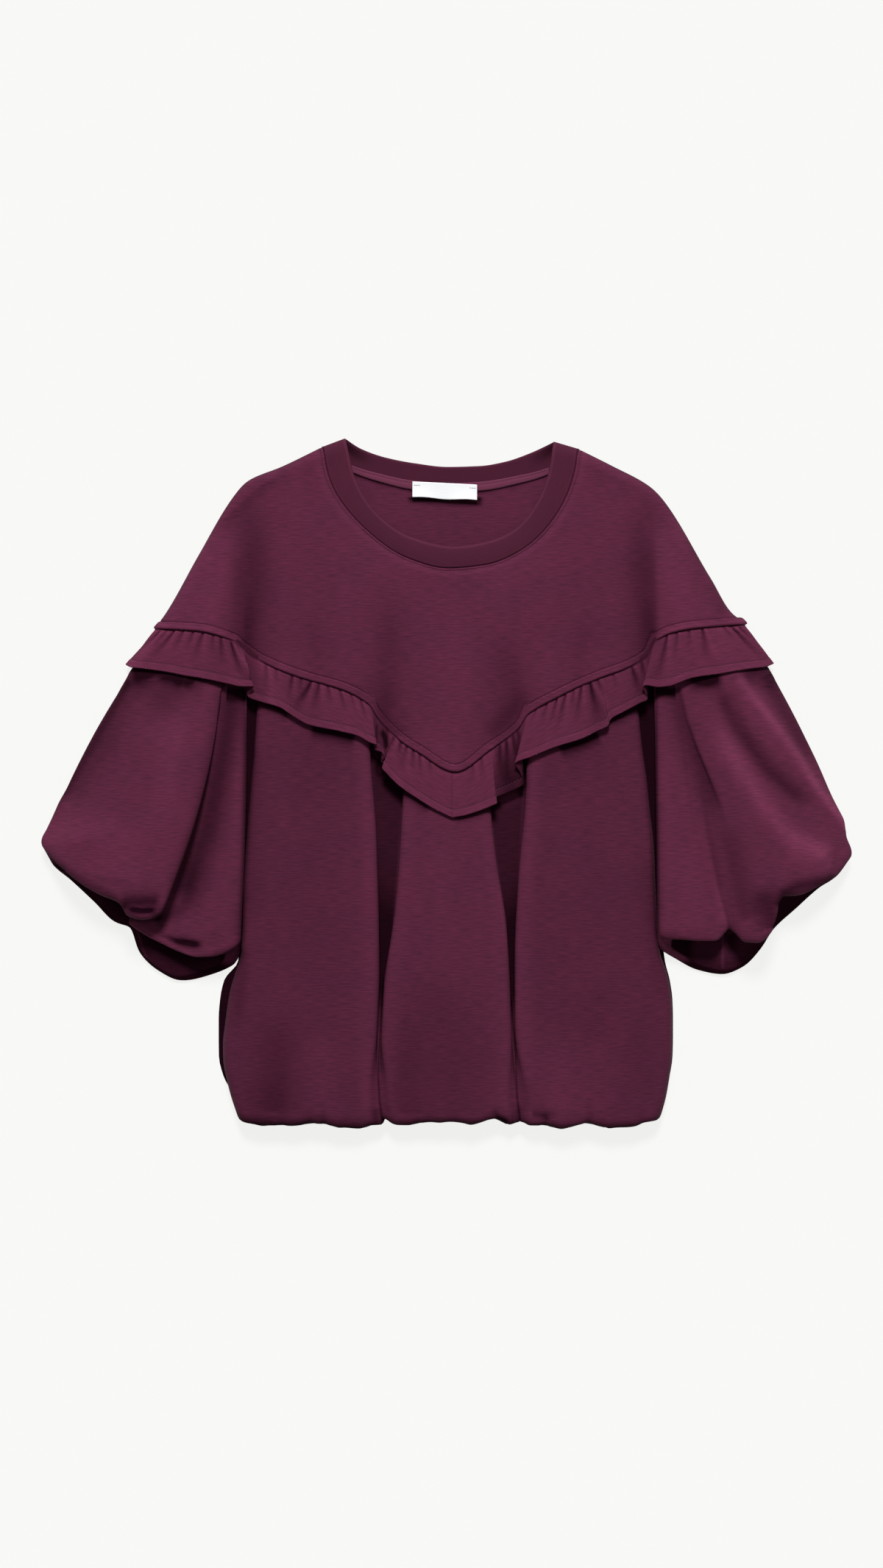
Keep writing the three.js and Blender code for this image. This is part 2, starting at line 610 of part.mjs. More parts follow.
// Each row is one lengthwise line of the sleeve: its share along the armhole seam from the
// armpit to the outer edge, its end on the rim (x, y, z), its height halfway down, and how
// far it bows sideways halfway.
const LEFT_SLEEVE = [
  { side: "front", seam: 0, x: -190, y: -148, mid: 9, z: 13, bow: 4 },
  { side: "front", seam: 0.05, x: -194, y: -151, mid: 17, z: 21, bow: 4 },
  { side: "front", seam: 0.1, x: -207, y: -156, mid: 20, z: 25, bow: 5 },
  { side: "front", seam: 0.14, x: -222, y: -155, mid: 20, z: 25, bow: 7 },
  { side: "front", seam: 0.18, x: -238, y: -149, mid: 18, z: 22, bow: 9 },
  { side: "front", seam: 0.21, x: -252, y: -139, mid: 17, z: 20, bow: 10 },
  { side: "front", seam: 0.225, x: -259, y: -133, mid: 19, z: 23, bow: 11 },
  { side: "front", seam: 0.235, x: -258, y: -125, mid: 25, z: 31, bow: 13 },
  { side: "front", seam: 0.25, x: -256, y: -117, mid: 30, z: 37, bow: 14 },
  { side: "front", seam: 0.28, x: -261, y: -119, mid: 33, z: 41, bow: 13 },
  { side: "front", seam: 0.36, x: -275, y: -121.5, mid: 34, z: 42, bow: 9 },
  { side: "front", seam: 0.46, x: -289, y: -118, mid: 35, z: 41, bow: 5 },
  { side: "front", seam: 0.56, x: -298, y: -105.5, mid: 35, z: 39, bow: 1 },
  { side: "front", seam: 0.68, x: -317, y: -97.5, mid: 34, z: 38, bow: -3 },
  { side: "front", seam: 0.8, x: -336, y: -86.5, mid: 31, z: 35, bow: -6 },
  { side: "front", seam: 0.9, x: -350, y: -76, mid: 26, z: 29, bow: -8 },
  { side: "front", seam: 0.96, x: -360, y: -67, mid: 19, z: 21, bow: -8 },
  { side: "edge", seam: 1, x: -369, y: -56, mid: 11, z: 13, bow: -8 },
  { side: "back", seam: 0.96, x: -362, y: -72, mid: 3, z: 5, bow: -8 },
  { side: "back", seam: 0.88, x: -347, y: -85, mid: BACK, z: BACK, bow: -7 },
  { side: "back", seam: 0.74, x: -324, y: -106, mid: BACK, z: BACK, bow: -4 },
  { side: "back", seam: 0.6, x: -304, y: -125, mid: BACK, z: BACK, bow: 0 },
  { side: "back", seam: 0.48, x: -290, y: -130, mid: BACK, z: BACK, bow: 2 },
  { side: "back", seam: 0.38, x: -280, y: -154, mid: BACK, z: BACK, bow: 4 },
  { side: "back", seam: 0.26, x: -262, y: -171, mid: BACK, z: BACK, bow: 5 },
  { side: "back", seam: 0.15, x: -240, y: -180, mid: BACK, z: BACK, bow: 5 },
  { side: "back", seam: 0.07, x: -216, y: -175, mid: BACK, z: BACK, bow: 4 },
  { side: "back", seam: 0.02, x: -197, y: -158, mid: 2.5, z: 4, bow: 4 },
];
const RIGHT_SLEEVE = [
  { side: "front", seam: 0, x: 198, y: -150, mid: 9, z: 13, bow: -3 },
  { side: "front", seam: 0.05, x: 199, y: -140, mid: 17, z: 22, bow: -3 },
  { side: "front", seam: 0.11, x: 210, y: -140.5, mid: 20, z: 27, bow: -4 },
  { side: "front", seam: 0.17, x: 224, y: -141.5, mid: 20, z: 29, bow: -6 },
  { side: "front", seam: 0.23, x: 239, y: -141.5, mid: 19, z: 29, bow: -8 },
  { side: "front", seam: 0.28, x: 247, y: -137.5, mid: 17, z: 26, bow: -9 },
  { side: "front", seam: 0.32, x: 252, y: -132, mid: 18, z: 24, bow: -9 },
  { side: "front", seam: 0.37, x: 258, y: -136, mid: 22, z: 29, bow: -8 },
  { side: "front", seam: 0.42, x: 268, y: -142.5, mid: 27, z: 34, bow: -6 },
  { side: "front", seam: 0.48, x: 280, y: -143, mid: 31, z: 37, bow: -4 },
  { side: "front", seam: 0.54, x: 291, y: -135, mid: 33, z: 38, bow: -2 },
  { side: "front", seam: 0.6, x: 297, y: -122, mid: 33, z: 38, bow: 0 },
  { side: "front", seam: 0.66, x: 300, y: -104, mid: 32, z: 38, bow: 2 },
  { side: "front", seam: 0.73, x: 308, y: -90, mid: 33, z: 37, bow: 4 },
  { side: "front", seam: 0.8, x: 322, y: -86.5, mid: 33, z: 35, bow: 7 },
  { side: "front", seam: 0.88, x: 339, y: -84, mid: 29, z: 31, bow: 9 },
  { side: "front", seam: 0.95, x: 354, y: -80, mid: 21, z: 23, bow: 9 },
  { side: "edge", seam: 1, x: 368, y: -66, mid: 11, z: 13, bow: 8 },
  { side: "back", seam: 0.96, x: 356, y: -83, mid: 3, z: 5, bow: 8 },
  { side: "back", seam: 0.88, x: 342, y: -92, mid: BACK, z: BACK, bow: 7 },
  { side: "back", seam: 0.74, x: 319, y: -112, mid: BACK, z: BACK, bow: 4 },
  { side: "back", seam: 0.6, x: 297, y: -132, mid: BACK, z: BACK, bow: 0 },
  { side: "back", seam: 0.46, x: 285, y: -150, mid: BACK, z: BACK, bow: -2 },
  { side: "back", seam: 0.34, x: 268, y: -167, mid: BACK, z: BACK, bow: -4 },
  { side: "back", seam: 0.22, x: 248, y: -174, mid: BACK, z: BACK, bow: -4 },
  { side: "back", seam: 0.11, x: 226, y: -170, mid: BACK, z: BACK, bow: -4 },
  { side: "back", seam: 0.03, x: 206, y: -160, mid: 2.5, z: 4, bow: -3 },
];

const ARM_EDGE_HEIGHT = 3.4; // where the sleeve turns from front to back at the seam
function sleeve(name, rows, armpit, outer) {
  const { roll, depth, level } = SLEEVE_CUFF;
  const middle = {
    x: rows.reduce((sum, row) => sum + row.x, 0) / rows.length,
    y: rows.reduce((sum, row) => sum + row.y, 0) / rows.length,
  };
  const shares = [0, 0.06, 0.14, 0.24, 0.35, 0.47, 0.6, 0.73, 0.85, 0.94, 1];
  const grid = rows.map((row) => {
    const x = mix(armpit, outer + Math.sign(armpit - outer) * 3, row.seam);
    const edge = Math.min(row.seam, 1 - row.seam) < 0.03;
    const atBack = row.side === "back" || edge;
    const seamY = atBack ? backSeam(x) - BACK_SEAM_GAP : yokeSeam(x) + tuckAt(x);
    const onFront = edge ? ARM_EDGE_HEIGHT : mix(ARM_EDGE_HEIGHT, panelTop(x), underYoke(x));
    const outwards = edge ? Math.sign(x - middle.x) * 0.5 : 0;
    const start = [x + outwards, seamY, row.side === "back" ? BACK : onFront];
    const along = unit([row.x - start[0], row.y - start[1], 0]);
    const end = [row.x - along[0] * roll, row.y - along[1] * roll, row.z];
    const loft = (share) => mix(start[2], row.mid, share);
    const rise = smooth(
      [0, 0.06, 0.14, 0.5, 0.85, 1],
      [start[2], loft(0.02), loft(0.12), row.mid, mix(row.mid, row.z, 0.9), row.z],
    );
    const points = shares.map((v) => {
      const bow = row.bow * 4 * v * (1 - v);
      return [mix(start[0], end[0], v) + bow, mix(start[1], end[1], v), rise(v)];
    });
    const inner = [mix(end[0], middle.x, 0.16), mix(end[1], middle.y, 0.1), mix(end[2], level, 0.42)];
    for (const angle of [0.3, 0.55, 0.8]) {
      const turn = angle * Math.PI;
      const base = mixed(end, inner, (1 - Math.cos(turn)) / 2);
      const out = roll * Math.sin(turn);
      points.push(base.map((c, k) => c + along[k] * out));
    }
    points.push(inner.map((c, k) => c - along[k] * 3));
    const deep = [mix(inner[0], middle.x, 0.18), inner[1], mix(inner[2], level, 0.15)];
    points.push(deep.map((c, k) => c - along[k] * depth));
    return points;
  });
  return clothWall(name, grid, CLOTH, plumKnit, true);
}

// ---- Ruffle ----

// Each row is a line of the strip from the seam (x on it) to the hem (x, y, z). Where x runs
// back, the strip folds under itself.
const LEFT_RUFFLE = [
  { seam: -266, x: -292.5, y: 109, z: 6 }, // turned over the arm's edge
  { seam: -262, x: -287, y: 106.5, z: 12 },
  { seam: -255, x: -278, y: 105.5, z: 15.5 },
  { seam: -242, x: -256, y: 102.5, z: 17 },
  { seam: -228, x: -238, y: 99, z: 17.5 },
  { seam: -213, x: -217, y: 95.5, z: 17.5 },
  { seam: -199, x: -199, y: 91.5, z: 18 },
  { seam: -190, x: -185, y: 89, z: 19.5 },
  { seam: -187, x: -176.5, y: 89, z: 20 }, // folded under at the armpit
  { seam: -185, x: -178, y: 85, z: 17 },
  { seam: -183, x: -182, y: 81, z: 14.5 },
  { seam: -180, x: -179, y: 78.5, z: 14 },
  { seam: -174, x: -170, y: 75.5, z: 14.5 },
  { seam: -155, x: -152, y: 70, z: 17 },
  { seam: -140, x: -142, y: 63.5, z: 17.5 },
  { seam: -126, x: -126, y: 54.5, z: 18 },
  { seam: -109, x: -100, y: 49, z: 18.5 },
  { seam: -90, x: -82, y: 44.5, z: 19 },
  { seam: -75, x: -70, y: 38, z: 20.5 },
  { seam: -69, x: -65, y: 36, z: 21 }, // folded under over the first pleat
  { seam: -67, x: -66.5, y: 35.5, z: 18.5 },
  { seam: -65, x: -66, y: 32, z: 16 },
  { seam: -60, x: -60, y: 22, z: 15 },
  { seam: -55, x: -56, y: 19, z: 15.5 },
  { seam: -51, x: -56, y: 18, z: 17.5 },
  { seam: -49.5, x: -59, y: 15, z: 20 },
  { seam: -47, x: -56, y: 11, z: 20.5 },
  { seam: -40, x: -44, y: -1, z: 19.5 },
  { seam: -26, x: -29, y: -11.5, z: 19 },
  { seam: -11, x: -13, y: -21.5, z: 19 },
  { seam: 3.3, x: 3.3, y: -29.5, z: 19 }, // centre front
];
const RIGHT_RUFFLE = [
  { seam: 4, x: 4, y: -29.7, z: 19 },
  { seam: 14, x: 16, y: -27.5, z: 19 },
  { seam: 28, x: 34, y: -21.5, z: 19.5 },
  { seam: 36, x: 42, y: -18, z: 20.5 },
  { seam: 39, x: 44, y: -17, z: 20.5 }, // folded under over the second pleat
  { seam: 41, x: 41.5, y: -14.5, z: 17.5 },
  { seam: 44, x: 42, y: -12.5, z: 15 },
  { seam: 52, x: 52, y: -8, z: 14.5 },
  { seam: 61, x: 64, y: -2.5, z: 14.5 },
  { seam: 65.5, x: 69, y: 1, z: 14 },
  { seam: 68.5, x: 66, y: 11, z: 17.5 },
  { seam: 71.5, x: 61.5, y: 18, z: 21 },
  { seam: 74, x: 61.5, y: 19.5, z: 22.5 },
  { seam: 84, x: 76, y: 25.5, z: 20 },
  { seam: 102, x: 98, y: 34.5, z: 19.5 },
  { seam: 122, x: 122, y: 42, z: 19 },
  { seam: 133, x: 137, y: 49.5, z: 19.5 },
  { seam: 137, x: 145, y: 53.5, z: 20 },
  { seam: 139, x: 146, y: 57, z: 17.5 },
  { seam: 142, x: 149, y: 60.5, z: 16 },
  { seam: 155, x: 160, y: 66.5, z: 16 },
  { seam: 172, x: 174, y: 74, z: 15 },
  { seam: 181, x: 181, y: 78, z: 14.5 },
  { seam: 184, x: 179.5, y: 83, z: 17 },
  { seam: 186.5, x: 177, y: 88, z: 19.5 }, // folded over the armpit
  { seam: 189, x: 180, y: 90, z: 20 },
  { seam: 194, x: 190, y: 88.5, z: 18.5 },
  { seam: 203, x: 200, y: 89.5, z: 17.5 },
  { seam: 222, x: 222, y: 97, z: 17.5 },
  { seam: 240, x: 248, y: 101, z: 17 },
  { seam: 255, x: 276, y: 105.5, z: 16 },
  { seam: 263, x: 288, y: 107, z: 12.5 },
  { seam: 270, x: 296, y: 110, z: 6.5 }, // turned over the arm's edge
];
// Gathers: where each starts on the seam, how deep it is, and the share of the ruffle it reaches.
const GATHERS = [
  { seam: -261, depth: 1.6, reach: 0.8 }, { seam: -250, depth: 0.8, reach: 0.5 },
  { seam: -242, depth: 1, reach: 0.6 }, { seam: -228, depth: 1.1, reach: 0.5 },
  { seam: -220, depth: 0.9, reach: 0.5 }, { seam: -208, depth: 1, reach: 0.6 },
  { seam: -196, depth: 1.6, reach: 0.8 }, { seam: -164, depth: 1, reach: 0.6 },
  { seam: -139, depth: 1.3, reach: 0.8 }, { seam: -131, depth: 1.3, reach: 0.6 },
  { seam: -124, depth: 1, reach: 0.5 }, { seam: -97, depth: 1, reach: 0.5 },
  { seam: -79, depth: 0.9, reach: 0.5 }, { seam: -44, depth: 1, reach: 0.5 },
  { seam: -37, depth: 1.1, reach: 0.6 }, { seam: -30, depth: 1, reach: 0.5 },
  { seam: 48, depth: 1, reach: 0.6 }, { seam: 57, depth: 1, reach: 0.7 },
  { seam: 94, depth: 0.8, reach: 0.4 }, { seam: 104, depth: 1.2, reach: 0.5 },
  { seam: 113, depth: 1.2, reach: 0.6 }, { seam: 121, depth: 1.1, reach: 0.6 },
  { seam: 128, depth: 1.3, reach: 0.7 }, { seam: 167, depth: 1.2, reach: 0.8 },
  { seam: 176, depth: 0.9, reach: 0.6 }, { seam: 202, depth: 1.2, reach: 0.6 },
  { seam: 232, depth: 1.8, reach: 0.9 }, { seam: 247, depth: 1, reach: 0.5 },
  { seam: 255, depth: 1.3, reach: 0.8 }, { seam: 264, depth: 0.9, reach: 0.5 },
];

function ruffle(name, rows) {
  const hem = { x: table(rows, "seam", "x"), y: table(rows, "seam", "y"), z: table(rows, "seam", "z") };
  const from = rows[0].seam;
  const to = rows[rows.length - 1].seam;
  const own = GATHERS.filter(({ seam }) => seam > from && seam < to);
  const wanted = [...column(rows, "seam"), ...own.flatMap(({ seam }) => [seam - 2.6, seam, seam + 2.6])];
  const stations = [];
  for (const x of wanted.sort((a, b) => a - b)) {
    if (!stations.length || x - stations[stations.length - 1] > 1.2) stations.push(x);
  }
  stations[stations.length - 1] = to;
  const surface = (x, t) => {
    const under = mix(ARM_EDGE_HEIGHT + 2, seamHeight(x) - RUFFLE_DROP, underYoke(x));
    const seamY = yokeSeam(x);
    const start = Math.min(-0.8, tuckAt(x) - 0.4);
    if (t < 0) return [x, seamY + Math.max(start + 1.2, Math.min(tuckAt(x), TUCK - 1)), under];
    const gathered = own.reduce((sum, { seam, depth, reach }) => {
      return sum + 0.8 * depth * bump(x, seam, 2) * Math.min(1, t / 0.1) * Math.max(0, 1 - t / reach);
    }, 0);
    const puff = 0.9 * Math.min(1, t / 0.1) * (1 - t) * underYoke(x);
    const z = mix(under, hem.z(x), t ** 0.7) + puff - gathered;
    return [mix(x, hem.x(x), t), mix(seamY + start, hem.y(x), t), z];
  };
  const grid = stations.map((x) => [-1, 0, 0.12, 0.32, 0.62, 1].map((t) => surface(x, t)));
  return clothWall(name, grid, RUFFLE_CLOTH, plumRuffle);
}

// ---- The garment ----
const garment = new THREE.Group();
garment.name = "bubble_hem_top";
garment.add(backBody(), backYoke(), frontBody(), frontYoke());
garment.add(sleeve("sleeve_left", LEFT_SLEEVE, ARMPIT_LEFT, ARM_LEFT));
garment.add(sleeve("sleeve_right", RIGHT_SLEEVE, ARMPIT_RIGHT, ARM_RIGHT));
garment.add(ruffle("ruffle_left", LEFT_RUFFLE), ruffle("ruffle_right", RIGHT_RUFFLE));
garment.add(neckband(), neckTape(), label());

export default garment;
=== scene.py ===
# %% [markdown]
# # A knit top laid flat: dropped yoke, gathered ruffle, pleated body and bubble hems
#
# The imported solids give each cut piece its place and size. Here every piece is made again as a thin
# sheet of cloth on the same form, with the finer folds, gathers and stitching that the solids leave out.
# Lengths are in millimetres until a mesh is made: +X across the garment, +Y to the neck, +Z up.

import math
from collections import namedtuple

import bmesh
import bpy
import numpy as np
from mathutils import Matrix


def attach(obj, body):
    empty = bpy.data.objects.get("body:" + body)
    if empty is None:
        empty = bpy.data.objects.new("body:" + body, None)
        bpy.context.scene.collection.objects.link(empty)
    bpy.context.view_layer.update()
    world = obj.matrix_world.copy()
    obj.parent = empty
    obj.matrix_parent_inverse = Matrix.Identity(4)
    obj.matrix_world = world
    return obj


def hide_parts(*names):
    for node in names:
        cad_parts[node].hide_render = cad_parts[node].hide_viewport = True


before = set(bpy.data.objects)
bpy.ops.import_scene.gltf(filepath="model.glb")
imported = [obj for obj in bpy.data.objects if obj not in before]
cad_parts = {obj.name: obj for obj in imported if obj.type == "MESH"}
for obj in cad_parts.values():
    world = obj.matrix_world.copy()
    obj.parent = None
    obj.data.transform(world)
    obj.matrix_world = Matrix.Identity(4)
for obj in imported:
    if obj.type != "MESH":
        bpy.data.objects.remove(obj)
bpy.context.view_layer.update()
MM = 0.001
print("solids:", ", ".join(sorted(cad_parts)))

# %% [markdown]
# ## Curves through short tables
#
# A pattern cutter draws a seam through a few measured points. Blender's Bezier curves could do that, but
# they swing past their points unless each handle is set. `smooth` runs a curve through the rows of a
# table without swinging past them, so a fold never bulges where no row says so. The same function fills
# in the points between the main folds of a sheet.


# %% Smooth curves
def smooth(at, value):
    """A function that passes through value at each place in at, and turns only where the rows turn."""
    at, value = np.asarray(at, float), np.asarray(value, float)
    width = np.diff(at).reshape((-1,) + (1,) * (value.ndim - 1))
    slope = np.diff(value, axis=0) / width
    product = slope[:-1] * slope[1:]
    total = np.where(product > 0, slope[:-1] + slope[1:], 1)
    middle = np.where(product > 0, 2 * product / total, 0)
    tangent = np.concatenate([slope[:1], middle, slope[-1:]])

    def curve(q):
        x = np.clip(np.asarray(q, float), at[0], at[-1])
        i = np.clip(np.searchsorted(at, x) - 1, 0, len(at) - 2)
        h = at[i + 1] - at[i]
        t = (x - at[i]) / h
        if value.ndim > 1:
            h, t = (a.reshape(a.shape + (1,) * (value.ndim - 1)) for a in (h, t))
        start = value[i] * (1 + 2 * t) * (1 - t) ** 2 + tangent[i] * h * t * (1 - t) ** 2
        end = value[i + 1] * t * t * (3 - 2 * t) + tangent[i + 1] * h * t * t * (t - 1)
        return start + end

    return curve


def through(*rows):
    """The last column of a two-column table as a function of the first."""
    return smooth(*np.array(rows, float).T)


def route(*points):
    """A path through points, run from 0 to 1 by its length."""
    points = np.array(points, float)
    along = np.concatenate([[0], np.cumsum(np.linalg.norm(np.diff(points, axis=0), axis=1))])
    return smooth(along / along[-1], points)


def mix(a, b, t):
    """From a to b as t goes from 0 to 1."""
    return a + (b - a) * t


def ease(t):
    """0 to 1 with a soft start and a soft end."""
    c = np.clip(t, 0, 1)
    return c * c * (3 - 2 * c)


def bump(x, middle, reach):
    """A soft bump, 1 at its middle and nearly gone at twice its reach."""
    return np.exp(-(((x - middle) / reach) ** 2))


def unit(a):
    return a / np.maximum(np.linalg.norm(a, axis=-1, keepdims=True), 1e-9)


def graded(*stretches):
    """Shares along a piece, from rows of (from, to, count), closer together where the form is finer."""
    return np.unique(np.concatenate([np.linspace(*stretch) for stretch in stretches]))


def lined(away, rows):
    """Painted shade beside a line, or a painted highlight where a tone is below 0, from rows of (distance,
    reach, tone).
    """
    return sum(tone * bump(away, distance, reach) for distance, reach, tone in rows)


print("a curve up to 1 and down again, between its rows:", through((0, 0), (1, 1), (2, 0))([0.5, 1.5]))

# %% [markdown]
# ## Sheets of cloth
#
# A sheet is a grid of points: lines that run the length of the piece, side by side. It starts coarse, a
# line for each main fold, as in the solids, and `refined` fills in points a few millimetres apart.
# Creases are then laid on it, each a soft ridge or trough along a line, because a top that was
# smoothed out and laid down has a few broad folds in known places and no random crumple.


# %% Grids of points
def refined(grid, across, along, ring=False):
    """The same sheet with points at most about `across` and `along` mm apart."""
    for axis, step in ((0, across), (1, along)):
        lines = np.moveaxis(grid, axis, 0)
        closed = ring and axis == 0
        if closed:
            lines = np.concatenate([lines[-2:], lines, lines[:3]])
        gap = np.linalg.norm(np.diff(lines[..., :3], axis=0), axis=-1)
        at = np.concatenate([[0], np.cumsum(gap.mean(1) + 0.01)])
        count = np.clip(np.ceil(gap.max(1) / step), 1, 24).astype(int)
        fine = np.concatenate([np.linspace(a, b, c, False) for a, b, c in zip(at, at[1:], count)])
        if closed:
            fine = fine[(fine >= at[2] - 1e-9) & (fine < at[-3] - 1e-9)]
        else:
            fine = np.append(fine, at[-1])
        grid = np.moveaxis(smooth(at, lines)(fine), 0, axis)
    return grid


def relaxed(grid, rounds, ring=False):
    """The sheet with its small kinks smoothed out; its edges stay."""
    grid = grid.copy()
    for _ in range(rounds):
        if ring:
            grid[:, 1:-1] = (np.roll(grid, 1, 0) + 2 * grid + np.roll(grid, -1, 0))[:, 1:-1] / 4
        else:
            grid[1:-1, 1:-1] = (grid[:-2] + 2 * grid[1:-1] + grid[2:])[:, 1:-1] / 4
        grid[:, 1:-1] = (grid[:, :-2] + 2 * grid[:, 1:-1] + grid[:, 2:]) / 4
    return grid


def normals(grid, ring=False):
    """Unit normals that point up out of a flat sheet, or out of a tube."""
    across = np.roll(grid, -1, 0) - np.roll(grid, 1, 0) if ring else np.gradient(grid, axis=0)
    normal = unit(np.cross(across, np.gradient(grid, axis=1)))
    outwards = (normal * (grid - grid.mean(0))).sum() if ring else normal[..., 2].sum()
    return normal * np.sign(outwards)


def raised(grid, height, ring=False):
    """The sheet with each point moved out along its normal by a height in mm."""
    return grid + normals(grid, ring) * np.asarray(height)[..., None]


Fold = namedtuple("Fold", "path left right rise tone fade", defaults=[(0.3, 0.3)])


def folded(grid, folds):
    """Height in mm and painted shade that soft folds give each point of a sheet.

    A fold follows a path of (x, y) points that runs down the garment, and reaches so far to its left and
    right. rise lifts the cloth; tone is painted shade that darkens it, or a painted highlight that lightens
    it below 0. Both fade in and out over a share of the path at each end.
    """
    x, y = grid[..., 0], grid[..., 1]
    height, tone = np.zeros_like(x), np.zeros_like(x)
    for fold in folds:
        path = np.array(fold.path, float)
        length = np.linalg.norm(np.diff(path, axis=0), axis=1)
        nearest, along, side = np.full(x.shape, np.inf), np.zeros_like(x), np.zeros_like(x)
        for start, step, size, before in zip(path, np.diff(path, axis=0), length, np.cumsum(length) - length):
            dx, dy = x - start[0], y - start[1]
            t = np.clip((dx * step[0] + dy * step[1]) / size**2, 0, 1)
            distance = np.hypot(dx - t * step[0], dy - t * step[1])
            closer = distance < nearest
            nearest = np.where(closer, distance, nearest)
            along = np.where(closer, (before + t * size) / length.sum(), along)
            side = np.where(closer, dx * step[1] - dy * step[0], side)
        reach = np.where(side > 0, fold.left, fold.right)
        ends = ease(along / max(fold.fade[0], 1e-3)) * ease((1 - along) / max(fold.fade[1], 1e-3))
        profile = np.exp(-((nearest / reach) ** 2)) * ends
        height += fold.rise * profile
        tone += fold.tone * profile
    return height, tone


swatch = np.array([[(x, y, 0.0) for y in (0, 60)] for x in (0, 40)])
print("lines and points of a 40 x 60 mm swatch at 10 mm:", refined(swatch, 10, 10).shape[:2])

# %% [markdown]
# Real cloth has a thickness, and it shows wherever an edge or a fold faces the eye. `cloth` gives a grid
# two sides and a rounded rim in one closed mesh, and a UV map measured in millimetres along the cloth.
# Blender's Solidify modifier would do nearly the same, but with square rims and no measured map.


# %% A closed wall from a grid
Sheet = namedtuple("Sheet", "piece top")
CORNERS = ((0, 0), (1, 0), (1, 1), (0, 1))
# how level cloth is, as its normal's height: where painted shade on cloth that stands on edge starts, and
# where it is darkest
LEANING, ON_EDGE = 0.72, 0.12


def rims_of(lines, points, ring):
    """The open edges of a grid, each a loop of (line, point) numbers."""
    if ring:
        return [[(i, j) for i in range(lines)] for j in (0, points - 1)]
    out = [(i, 0) for i in range(lines)] + [(lines - 1, j) for j in range(1, points)]
    back = [(i, points - 1) for i in range(lines - 2, -1, -1)] + [(0, j) for j in range(points - 2, 0, -1)]
    return [out + back]


def cloth_map(grid, ring, laid):
    """Each point's place on the cloth in mm. A ring has its first line once more, at the end."""
    if laid:
        place = grid[..., :2]
        return np.concatenate([place, place[:1]]) if ring else place
    across = np.linalg.norm(grid - np.roll(grid, 1, 0), axis=-1).mean(1)
    along = np.linalg.norm(np.diff(grid, axis=1), axis=-1)
    u = np.append(0, np.cumsum(np.append(across[1:], across[0])))
    v = np.concatenate([np.zeros((len(grid), 1)), np.cumsum(along, axis=1)], axis=1)
    if ring:
        v = np.concatenate([v, v[:1]])
    return np.stack([np.broadcast_to(u[: len(v), None], v.shape), v], -1)


def cloth(name, grid, thickness, ring=False, depth=0, inside=0, steep=0.3, laid=False):
    """depth is the painted shade of each point, 0 on the face to 1 deep in a fold, and a painted highlight
    below 0; inside is the least painted shade for the inner side, and steep is the painted shade that
    cloth standing on edge adds. A laid piece keeps its knit courses level, so its map is its plan."""
    n, m = grid.shape[:2]
    normal = normals(grid, ring)
    on_edge = ease((LEANING - abs(normal[..., 2])) / (LEANING - ON_EDGE))
    # cloth that stands on edge gets painted shade
    depth = np.broadcast_to(depth, (n, m)) + steep * on_edge
    half = normal * thickness / 2
    number = np.arange(n * m).reshape(n, m)
    around, along = np.meshgrid(np.arange(n if ring else n - 1), np.arange(m - 1), indexing="ij")
    quads = np.stack([number[(around + a) % n, along + b] for a, b in CORNERS], -1).reshape(-1, 4)
    place = cloth_map(grid, ring, laid)
    map_top = np.stack([place[around + a, along + b] for a, b in CORNERS], 2).reshape(-1, 4, 2)

    points = [(grid + half).reshape(-1, 3), (grid - half).reshape(-1, 3)]
    faces, maps = [quads, quads[:, ::-1] + n * m], [map_top, map_top[:, ::-1]]
    depths = [depth.ravel(), np.maximum(depth, inside).ravel()]
    for rim in rims_of(n, m, ring):
        i, j = np.array(rim).T
        inner_i = i if ring else np.where(i == 0, 1, np.where(i == n - 1, n - 2, i))
        inner_j = np.where(j == 0, 1, np.where(j == m - 1, m - 2, j))
        edge = grid[i, j]
        first = sum(len(p) for p in points)
        points.append(edge + unit(edge - grid[inner_i, inner_j]) * thickness / 2)
        depths.append(depth[i, j])
        k = np.arange(len(rim))
        after = (k + 1) % len(rim)
        top, under, middle = number[i, j], number[i, j] + n * m, first + k
        upper = np.stack([top[k], top[after], middle[after], middle[k]], -1)
        lower = np.stack([middle[k], middle[after], under[after], under[k]], -1)
        here = place[i, j]
        there = place[i + 1, j] if ring else here[after]
        faces += [upper, lower]
        maps += [np.stack([here, there, there, here], 1)] * 2

    mesh = bpy.data.meshes.new(name)
    mesh.from_pydata((np.concatenate(points) * MM).tolist(), [], np.concatenate(faces).tolist())
    mesh.attributes.new("depth", "FLOAT", "POINT").data.foreach_set("value", np.concatenate(depths))
    mesh.uv_layers.new(name="cloth_mm").data.foreach_set("uv", np.concatenate(maps).ravel())
    shape = bmesh.new()
    shape.from_mesh(mesh)
    bmesh.ops.recalc_face_normals(shape, faces=shape.faces)
    shape.to_mesh(mesh)
    shape.free()
    mesh.shade_smooth()
    piece = bpy.data.objects.new(name, mesh)
    bpy.context.scene.collection.objects.link(piece)
    size = np.ptp(grid.reshape(-1, 3), axis=0)
    area = sum(face.area for face in mesh.polygons) / 2
    print(f"{name}: {2 * len(mesh.polygons)} triangles, {area:.4f} m2, {size.round()} mm")
    return Sheet(piece, grid + half)


# %% [markdown]
# ## Driving sizes
#
# These are the garment's own measures, in millimetres. The cloth is as thick as a heavy jersey, the
# neckband is folded double, and each layer lies a small clearance above the one under it. Seams could be
# read off the solids' corners, but a seam is a smooth line, so each is a curve through a few points.

# %% Driving sizes
CLOTH = 1.5
RUFFLE_CLOTH = 1.2
RIB = 2.4
TRIM = 0.8
SEWN = 0.4  # clearance between two layers that are sewn together
TUCK = 5  # how far a panel runs up under the yoke
BACK = CLOTH / 2  # the middle of cloth that lies on the surface
NECK_HEIGHT = 11
ARM_LEFT, ARM_RIGHT = -267, 272
ARMPIT_LEFT, ARMPIT_RIGHT = -184, 188

